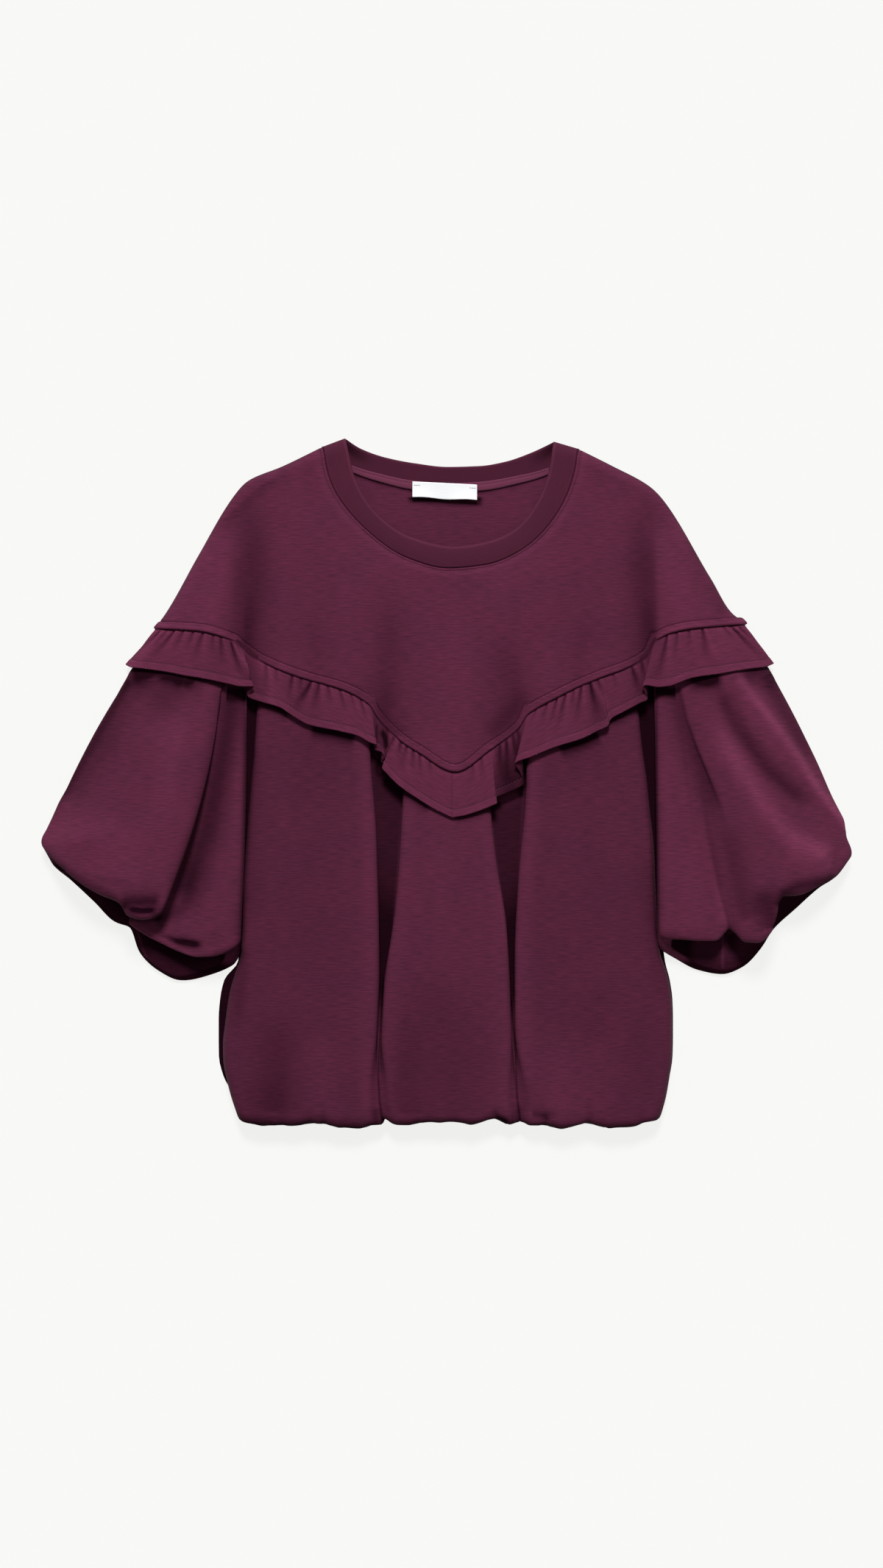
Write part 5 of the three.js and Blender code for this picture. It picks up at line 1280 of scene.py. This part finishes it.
def stitch_nodes():
    tree = bpy.data.node_groups.new("stitch row", "GeometryNodeTree")
    for name, kind in (("Path", "Geometry"), ("Pitch", "Float"), ("Length", "Float"), ("Width", "Float")):
        tree.interface.new_socket(name, in_out="INPUT", socket_type=f"NodeSocket{kind}")
    tree.interface.new_socket("Thread", in_out="INPUT", socket_type="NodeSocketMaterial")
    tree.interface.new_socket("Stitches", in_out="OUTPUT", socket_type="NodeSocketGeometry")
    start = tree.nodes.new("NodeGroupInput").outputs

    # a point at each stitch of the path
    curve = add_node(tree, "GeometryNodeMeshToCurve", {"Mesh": start["Path"]}).outputs[0]
    spaced = {"Curve": curve, "Length": start["Pitch"]}
    points = add_node(tree, "GeometryNodeResampleCurve", spaced, mode="LENGTH").outputs[0]
    # one stitch, a bead stretched to its length and width
    bead = add_node(tree, "GeometryNodeMeshUVSphere", {"Segments": 8, "Rings": 4, "Radius": 0.5}).outputs[0]
    sizes = {"X": start["Length"], "Y": start["Width"], "Z": start["Width"]}
    size = add_node(tree, "ShaderNodeCombineXYZ", sizes).outputs[0]
    stitch = add_node(tree, "GeometryNodeTransform", {"Geometry": bead, "Scale": size}).outputs[0]
    # turned to run along the path, then to lie on the cloth
    align = "FunctionNodeAlignRotationToVector"
    tangent = add_node(tree, "GeometryNodeInputTangent").outputs[0]
    named = {"Name": "up"}
    up = add_node(tree, "GeometryNodeInputNamedAttribute", named, data_type="FLOAT_VECTOR").outputs[0]
    along = add_node(tree, align, {"Vector": tangent}, axis="X").outputs[0]
    lying = add_node(tree, align, {"Rotation": along, "Vector": up}, axis="Z", pivot_axis="X").outputs[0]

    each = {"Points": points, "Instance": stitch, "Rotation": lying}
    row = add_node(tree, "GeometryNodeInstanceOnPoints", each).outputs[0]
    real = add_node(tree, "GeometryNodeRealizeInstances", {"Geometry": row}).outputs[0]
    rounded = add_node(tree, "GeometryNodeSetShadeSmooth", {"Geometry": real}).outputs[0]
    threaded = {"Geometry": rounded, "Material": start["Thread"]}
    thread = add_node(tree, "GeometryNodeSetMaterial", threaded).outputs[0]
    tree.links.new(thread, tree.nodes.new("NodeGroupOutput").inputs[0])
    return tree


STITCH_ROW = stitch_nodes()


def stitches(name, points, up, thread, pitch, length, width):
    """A row of stitches along points in mm, as a plain mesh."""
    mesh = bpy.data.meshes.new(name + " path")
    edges = [(i, i + 1) for i in range(len(points) - 1)]
    mesh.from_pydata((np.asarray(points) * MM).tolist(), edges, [])
    mesh.attributes.new("up", "FLOAT_VECTOR", "POINT").data.foreach_set("vector", np.asarray(up).ravel())
    path = bpy.data.objects.new(name + "_path", mesh)
    bpy.context.scene.collection.objects.link(path)
    modifier = path.modifiers.new("stitches", "NODES")
    modifier.node_group = STITCH_ROW
    settings = {"Pitch": pitch * MM, "Length": length * MM, "Width": width * MM, "Thread": thread}
    for item in STITCH_ROW.interface.items_tree:
        if item.name in settings:
            modifier[item.identifier] = settings[item.name]
    ready = path.evaluated_get(bpy.context.evaluated_depsgraph_get())
    row = bpy.data.objects.new(name, bpy.data.meshes.new_from_object(ready))
    bpy.context.scene.collection.objects.link(row)
    bpy.data.objects.remove(path)
    print(f"{name}: {len(row.data.vertices)} points")
    return row


# %% [markdown]
# ## Cloth
#
# The top is one heavy cotton jersey, dyed plum. The yarn is slightly uneven, which gives the face fine
# streaks that run with the courses, and the dye takes a little unevenly over the whole piece. Both come
# from noise measured in millimetres on the cloth, so they follow the folds; an image of cloth would
# repeat. Light alone doesn't make the bottom of a fold dark enough, so each piece carries painted shade
# as its depth, which takes colour, gloss and sheen away there; a depth below 0 is a painted highlight.


# %% Materials
def linear(code):
    """An sRGB hex code as linear colour."""
    values = [int(code[i : i + 2], 16) / 255 for i in (1, 3, 5)]
    return [v / 12.92 if v <= 0.04045 else ((v + 0.055) / 1.055) ** 2.4 for v in values]


def shade(code, factor):
    """An sRGB hex code made lighter or darker, as a linear colour with alpha."""
    return [value * factor for value in linear(code)] + [1]


def noise_mm(tree, place, size, detail, seed=0):
    """Noise whose patches are about size = (across, along) mm on the cloth."""
    stretch = {"Vector": place, "Location": (seed, 3 * seed, 0), "Scale": (1 / size[0], 1 / size[1], 1)}
    scaled = add_node(tree, "ShaderNodeMapping", stretch).outputs[0]
    grain = {"Vector": scaled, "Scale": 1, "Detail": detail}
    return add_node(tree, "ShaderNodeTexNoise", grain).outputs["Fac"]


def patches_mm(tree, place, size, gain, detail, seed=0):
    """The same noise with more contrast, so that it fills the range from 0 to 1."""
    spread = {0: noise_mm(tree, place, size, detail, seed), 1: gain, 2: (1 - gain) / 2}
    return add_node(tree, "ShaderNodeMath", spread, operation="MULTIPLY_ADD", use_clamp=True).outputs[0]


def ribs_mm(tree, across, spacing):
    """A wave from -1 to 1 whose crests are spacing mm apart."""
    angle = {0: across, 1: 2 * math.pi / spacing}
    turns = add_node(tree, "ShaderNodeMath", angle, operation="MULTIPLY").outputs[0]
    return add_node(tree, "ShaderNodeMath", {0: turns}, operation="SINE").outputs[0]


COURSE, WALE = 0.9, 1.1  # rows and columns of loops in the jersey; drawn coarse, so that they show
FUZZ_SIZE = (0.9, 0.6)
STREAK_SIZE, DYE_SIZE = (11, 1.1), (55, 38)
DARKEST = 0.13  # what is left of the colour in the deepest shade
GLOSS = 0.22


def cloth_colour(tree, tone, streak, patch, place, kept):
    """Streaks of yarn, uneven dye, and the painted shade and highlights of the folds."""
    fine = patches_mm(tree, place, STREAK_SIZE, 2.8, 4)
    broad = patches_mm(tree, place, DYE_SIZE, 2.4, 3, 7)
    # a Mix node's two colours are its inputs 6 and 7, and its colour comes out at 2
    yarns = {0: fine, 6: shade(tone, 1 - streak), 7: shade(tone, 1 + streak)}
    yarn = add_node(tree, "ShaderNodeMix", yarns, data_type="RGBA").outputs[2]
    tints = {0: broad, 6: (1 - patch, 1 - patch / 2, 1, 1), 7: (1 + patch, 1 + patch / 2, 1, 1)}
    tint = add_node(tree, "ShaderNodeMix", tints, data_type="RGBA").outputs[2]
    both = {0: 1.0, 6: yarn, 7: tint}
    dyed = add_node(tree, "ShaderNodeMix", both, data_type="RGBA", blend_type="MULTIPLY").outputs[2]
    shaded = {"Vector": dyed, "Scale": kept}
    return add_node(tree, "ShaderNodeVectorMath", shaded, operation="SCALE").outputs[0]


def knit_relief(tree, place, rib, twill):
    """Loops in rows and columns, or slanting ribs for a twill, under a fine fuzz."""
    split = add_node(tree, "ShaderNodeSeparateXYZ", {"Vector": place}).outputs
    across = split["X"]
    if twill:
        across = add_node(tree, "ShaderNodeMath", {0: across, 1: split["Y"]}, operation="ADD").outputs[0]
    wales = ribs_mm(tree, across, twill or rib or WALE)
    scaled = {0: wales, 1: 0.6 if rib else 0.2}
    columns = add_node(tree, "ShaderNodeMath", scaled, operation="MULTIPLY").outputs[0]
    joined = {0: ribs_mm(tree, split["Y"], COURSE), 1: 0.25, 2: columns}
    loops = add_node(tree, "ShaderNodeMath", joined, operation="MULTIPLY_ADD").outputs[0]
    both = {0: loops, 1: noise_mm(tree, place, FUZZ_SIZE, 3, 2)}
    return add_node(tree, "ShaderNodeMath", both, operation="ADD").outputs[0]


def cloth_material(name, tone, streak=0.22, patch=0.06, rib=0, roughness=0.9, sheen=0.1, twill=0):
    """Dyed cloth. rib and twill are the spacing of their ribs in mm, and 0 for a plain jersey."""
    material = bpy.data.materials.new(name)
    material.use_nodes = True
    tree = material.node_tree
    surface = tree.nodes["Principled BSDF"].inputs
    place = add_node(tree, "ShaderNodeUVMap", uv_map="cloth_mm").outputs[0]
    # the depth attribute is painted shade, or a painted highlight below 0; kept is the share of colour it
    # leaves
    depth = add_node(tree, "ShaderNodeAttribute", attribute_name="depth").outputs["Fac"]
    left = add_node(tree, "ShaderNodeMath", {0: 1.0, 1: depth}, operation="SUBTRACT").outputs[0]
    kept = add_node(tree, "ShaderNodeMath", {0: left, 1: DARKEST}, operation="MAXIMUM").outputs[0]
    tree.links.new(cloth_colour(tree, tone, streak, patch, place, kept), surface["Base Color"])
    relief = {"Height": knit_relief(tree, place, rib, twill), "Strength": 0.5, "Distance": 0.12 * MM}
    tree.links.new(add_node(tree, "ShaderNodeBump", relief).outputs[0], surface["Normal"])
    # painted shade takes gloss and sheen away as well, and a painted highlight adds them
    for socket, share in (("Specular IOR Level", GLOSS), ("Sheen Weight", sheen)):
        level = add_node(tree, "ShaderNodeMath", {0: kept, 1: share}, operation="MULTIPLY").outputs[0]
        tree.links.new(level, surface[socket])
    surface["Roughness"].default_value = roughness
    surface["Sheen Roughness"].default_value = 0.45
    surface["Sheen Tint"].default_value = shade(tone, 2.2)
    material.diffuse_color = shade(tone, 1)
    return material


# Body and sleeves: heavy single jersey, smooth face.
plum_jersey = cloth_material("plum cotton jersey", "#59203a")
# The ruffle is a lighter cut of the same jersey.
plum_ruffle = cloth_material("plum ruffle jersey", "#5b213b")
# Neckband: 1x1 rib, denser, so it looks darker.
plum_rib = cloth_material("plum cotton rib", "#501c33", streak=0.06, rib=1.5)
# Neck tape: bias twill in the same dye, slightly greyer.
plum_tape = cloth_material("plum twill tape", "#6a3049", streak=0.04, twill=1.0)
# Label: plain woven satin.
white_satin = cloth_material("white woven satin", "#fbfdff", streak=0.01, patch=0.01, roughness=0.45, sheen=0)


def thread_material(name, tone):
    """Spun polyester thread, a little smoother than the cloth; too thin for its twist to show."""
    material = bpy.data.materials.new(name)
    material.use_nodes = True
    surface = material.node_tree.nodes["Principled BSDF"]
    surface.inputs["Base Color"].default_value = shade(tone, 1)
    surface.inputs["Roughness"].default_value = 0.6
    surface.inputs["Sheen Weight"].default_value = 0.2
    material.diffuse_color = shade(tone, 1)
    return material


plum_thread = thread_material("plum thread", "#4a1b30")
dark_thread = thread_material("dark plum thread", "#35141f")
print("materials:", ", ".join(material.name for material in bpy.data.materials))

# %% [markdown]
# ## Rows of stitching on the top
#
# One row holds the seam allowance along the yoke, one runs just outside the neckband, one holds each
# ruffle's hem, two hold the tape, and two short bars hold the label. The paths could be drawn again from
# the pattern, but then they might float or sink; taken from the finished sheets, they lie on the cloth.


# %% Lay the rows
def at_index(sheet, columns, rows, lift):
    """Points just above a sheet's upper face, at fractional rows of the given columns."""
    low = np.clip(np.floor(rows).astype(int), 0, sheet.top.shape[1] - 2)
    share = (rows - low)[:, None]
    up = normals(sheet.top)
    point = mix(sheet.top[columns, low], sheet.top[columns, low + 1], share)
    normal = unit(mix(up[columns, low], up[columns, low + 1], share))
    return point + normal * lift, normal


def row_at(sheet, share, skip=4, lift=0.05):
    """A row of points across a sheet, at a share of its depth."""
    count, depth = sheet.top.shape[:2]
    columns = np.arange(skip, count - skip)
    return at_index(sheet, columns, np.full(len(columns), share * (depth - 1)), lift)


def ruffle_row(sheet):
    """Points a hem's depth above the ruffle's lower edge."""
    step = np.linalg.norm(np.diff(sheet.top, axis=1), axis=-1)
    from_edge = np.concatenate([np.cumsum(step[:, ::-1], axis=1)[:, ::-1], np.zeros((len(step), 1))], 1)
    count = sheet.top.shape[1]
    rows = [np.interp(-RUFFLE_HEM - 0.3, -line, np.arange(count)) for line in from_edge]
    return at_index(sheet, np.arange(len(rows)), np.array(rows), 0.05)


NECK_STITCH_ROW = 8.0  # the yoke's row of points where the top-stitching lies
columns = np.arange(8, len(yoke_stitch_rows) - 8)
neck_rows = np.full(len(columns), NECK_STITCH_ROW)
# each row's name, its sheet, its path, and the pitch, length and width of its stitches
LONG_ROWS = [
    ("yoke_stitching", yoke, at_index(yoke, columns, yoke_stitch_rows[columns], 0.02), (3.2, 2.3, 0.42)),
    ("neck_stitching", yoke, at_index(yoke, columns, neck_rows, 0.02), (2.8, 2.0, 0.36)),
    ("ruffle_left_stitching", ruffle_left, ruffle_row(ruffle_left), (3, 2.2, 0.38)),
    ("ruffle_right_stitching", ruffle_right, ruffle_row(ruffle_right), (3, 2.2, 0.38)),
    ("tape_upper_stitching", tape_sheet, row_at(tape_sheet, 0.14), (2.8, 2.0, 0.34)),
    ("tape_lower_stitching", tape_sheet, row_at(tape_sheet, 0.86), (2.8, 2.0, 0.34)),
]
rows_of_stitching = {}
for name, sheet, path, gauge in LONG_ROWS:
    rows_of_stitching[name] = (sheet, stitches(name, *path, plum_thread, *gauge))
label_top = label_sheet.top[:, 2]
for side, first in (("left", 2), ("right", len(label_top) - 7)):
    bar = label_top[first : first + 5] + [0, -1.5, 0.15]
    name = f"label_{side}_tack"
    up = np.tile([0.0, 0.0, 1.0], (len(bar), 1))
    rows_of_stitching[name] = (label_sheet, stitches(name, bar, up, dark_thread, 1.5, 1.9, 0.4))

# %% [markdown]
# ## What each piece is
#
# Each sheet rides on the one body, takes its material and stands for its solid, which is hidden. The
# table also lists its slot and the size it was cut to.

Cut = namedtuple("Cut", "sheet node slot material width length area")
CUTS = [
    Cut(yoke, "front_yoke", "plum_knit", plum_jersey, 0.56, 0.30, 0.090),
    Cut(back_yoke_sheet, "back_yoke", "plum_knit", plum_jersey, 0.54, 0.19, 0.072),
    Cut(front_body_sheet, "front_body", "plum_knit", plum_jersey, 0.52, 0.47, 0.20),
    Cut(back_body_sheet, "back_body", "plum_knit", plum_jersey, 0.41, 0.46, 0.17),
    Cut(sleeve_left, "sleeve_left", "plum_knit", plum_jersey, 0.38, 0.34, 0.11),
    Cut(sleeve_right, "sleeve_right", "plum_knit", plum_jersey, 0.38, 0.34, 0.11),
    Cut(ruffle_left, "ruffle_left", "plum_ruffle_knit", plum_ruffle, 0.33, 0.055, None),
    Cut(ruffle_right, "ruffle_right", "plum_ruffle_knit", plum_ruffle, 0.33, 0.055, None),
    Cut(neckband_sheet, "neckband", "plum_rib", plum_rib, 0.62, 0.018, None),
    Cut(tape_sheet, "neck_tape", "plum_tape", plum_tape, 0.18, 0.01, 0.0011),
    Cut(label_sheet, "label", "white_satin", white_satin, 0.059, 0.014, None),
]
for cut in CUTS:
    piece = cut.sheet.piece
    piece.data.materials.append(cut.material)
    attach(piece, "root")
    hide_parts(cut.node)
for _, row in rows_of_stitching.values():
    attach(row, "root")

# %% [markdown]
# ## Floor, light and camera
#
# The top lies on a pale sheet. One big soft light slants in from the neck's side, and even white fill
# comes from all round. A lower lamp would show the relief better, but it would throw long shadows on the
# sheet. The camera looks straight down through a long lens, so the garment's sides hardly show.

# %% Stage
CAMERA_PLACE = (-0.0057, 0.0003, 3.374)  # in metres, straight above the middle of the top
FLOOR_HALF = 3
PAPER = "#f7f7f5"
floor_mesh = bpy.data.meshes.new("floor")
corners = [(x * FLOOR_HALF, y * FLOOR_HALF, 0) for x, y in ((-1, -1), (1, -1), (1, 1), (-1, 1))]
floor_mesh.from_pydata(corners, [], [(0, 1, 2, 3)])
floor = bpy.data.objects.new("floor", floor_mesh)
bpy.context.scene.collection.objects.link(floor)
paper = bpy.data.materials.new("white paper")
paper.use_nodes = True
paper_surface = paper.node_tree.nodes["Principled BSDF"]
paper_surface.inputs["Base Color"].default_value = shade(PAPER, 0.12)
paper_surface.inputs["Roughness"].default_value = 0.9
paper_surface.inputs["Specular IOR Level"].default_value = 0
paper_surface.inputs["Emission Color"].default_value = shade(PAPER, 1)
paper_surface.inputs["Emission Strength"].default_value = 0.9
floor_mesh.materials.append(paper)

scene = bpy.context.scene
scene.view_settings.view_transform = "Standard"
scene.world = scene.world or bpy.data.worlds.new("world")
scene.world.use_nodes = True
fill = scene.world.node_tree.nodes["Background"]
fill.inputs["Color"].default_value = (1, 1, 1, 1)
fill.inputs["Strength"].default_value = 0.24
key = bpy.data.objects.new("key light", bpy.data.lights.new("key light", "SUN"))
key.data.energy = 0.97 * math.pi
key.data.angle = math.radians(14)
key.rotation_euler = (math.radians(-44), 0, 0)
scene.collection.objects.link(key)

camera = bpy.data.objects.new("camera", bpy.data.cameras.new("camera"))
camera.data.lens = 85
camera.data.sensor_width = 36
camera.data.sensor_fit = "AUTO"
camera.location = CAMERA_PLACE
scene.collection.objects.link(camera)
scene.camera = camera
print(f"camera {CAMERA_PLACE[2]} m above the surface, lens {camera.data.lens} mm")
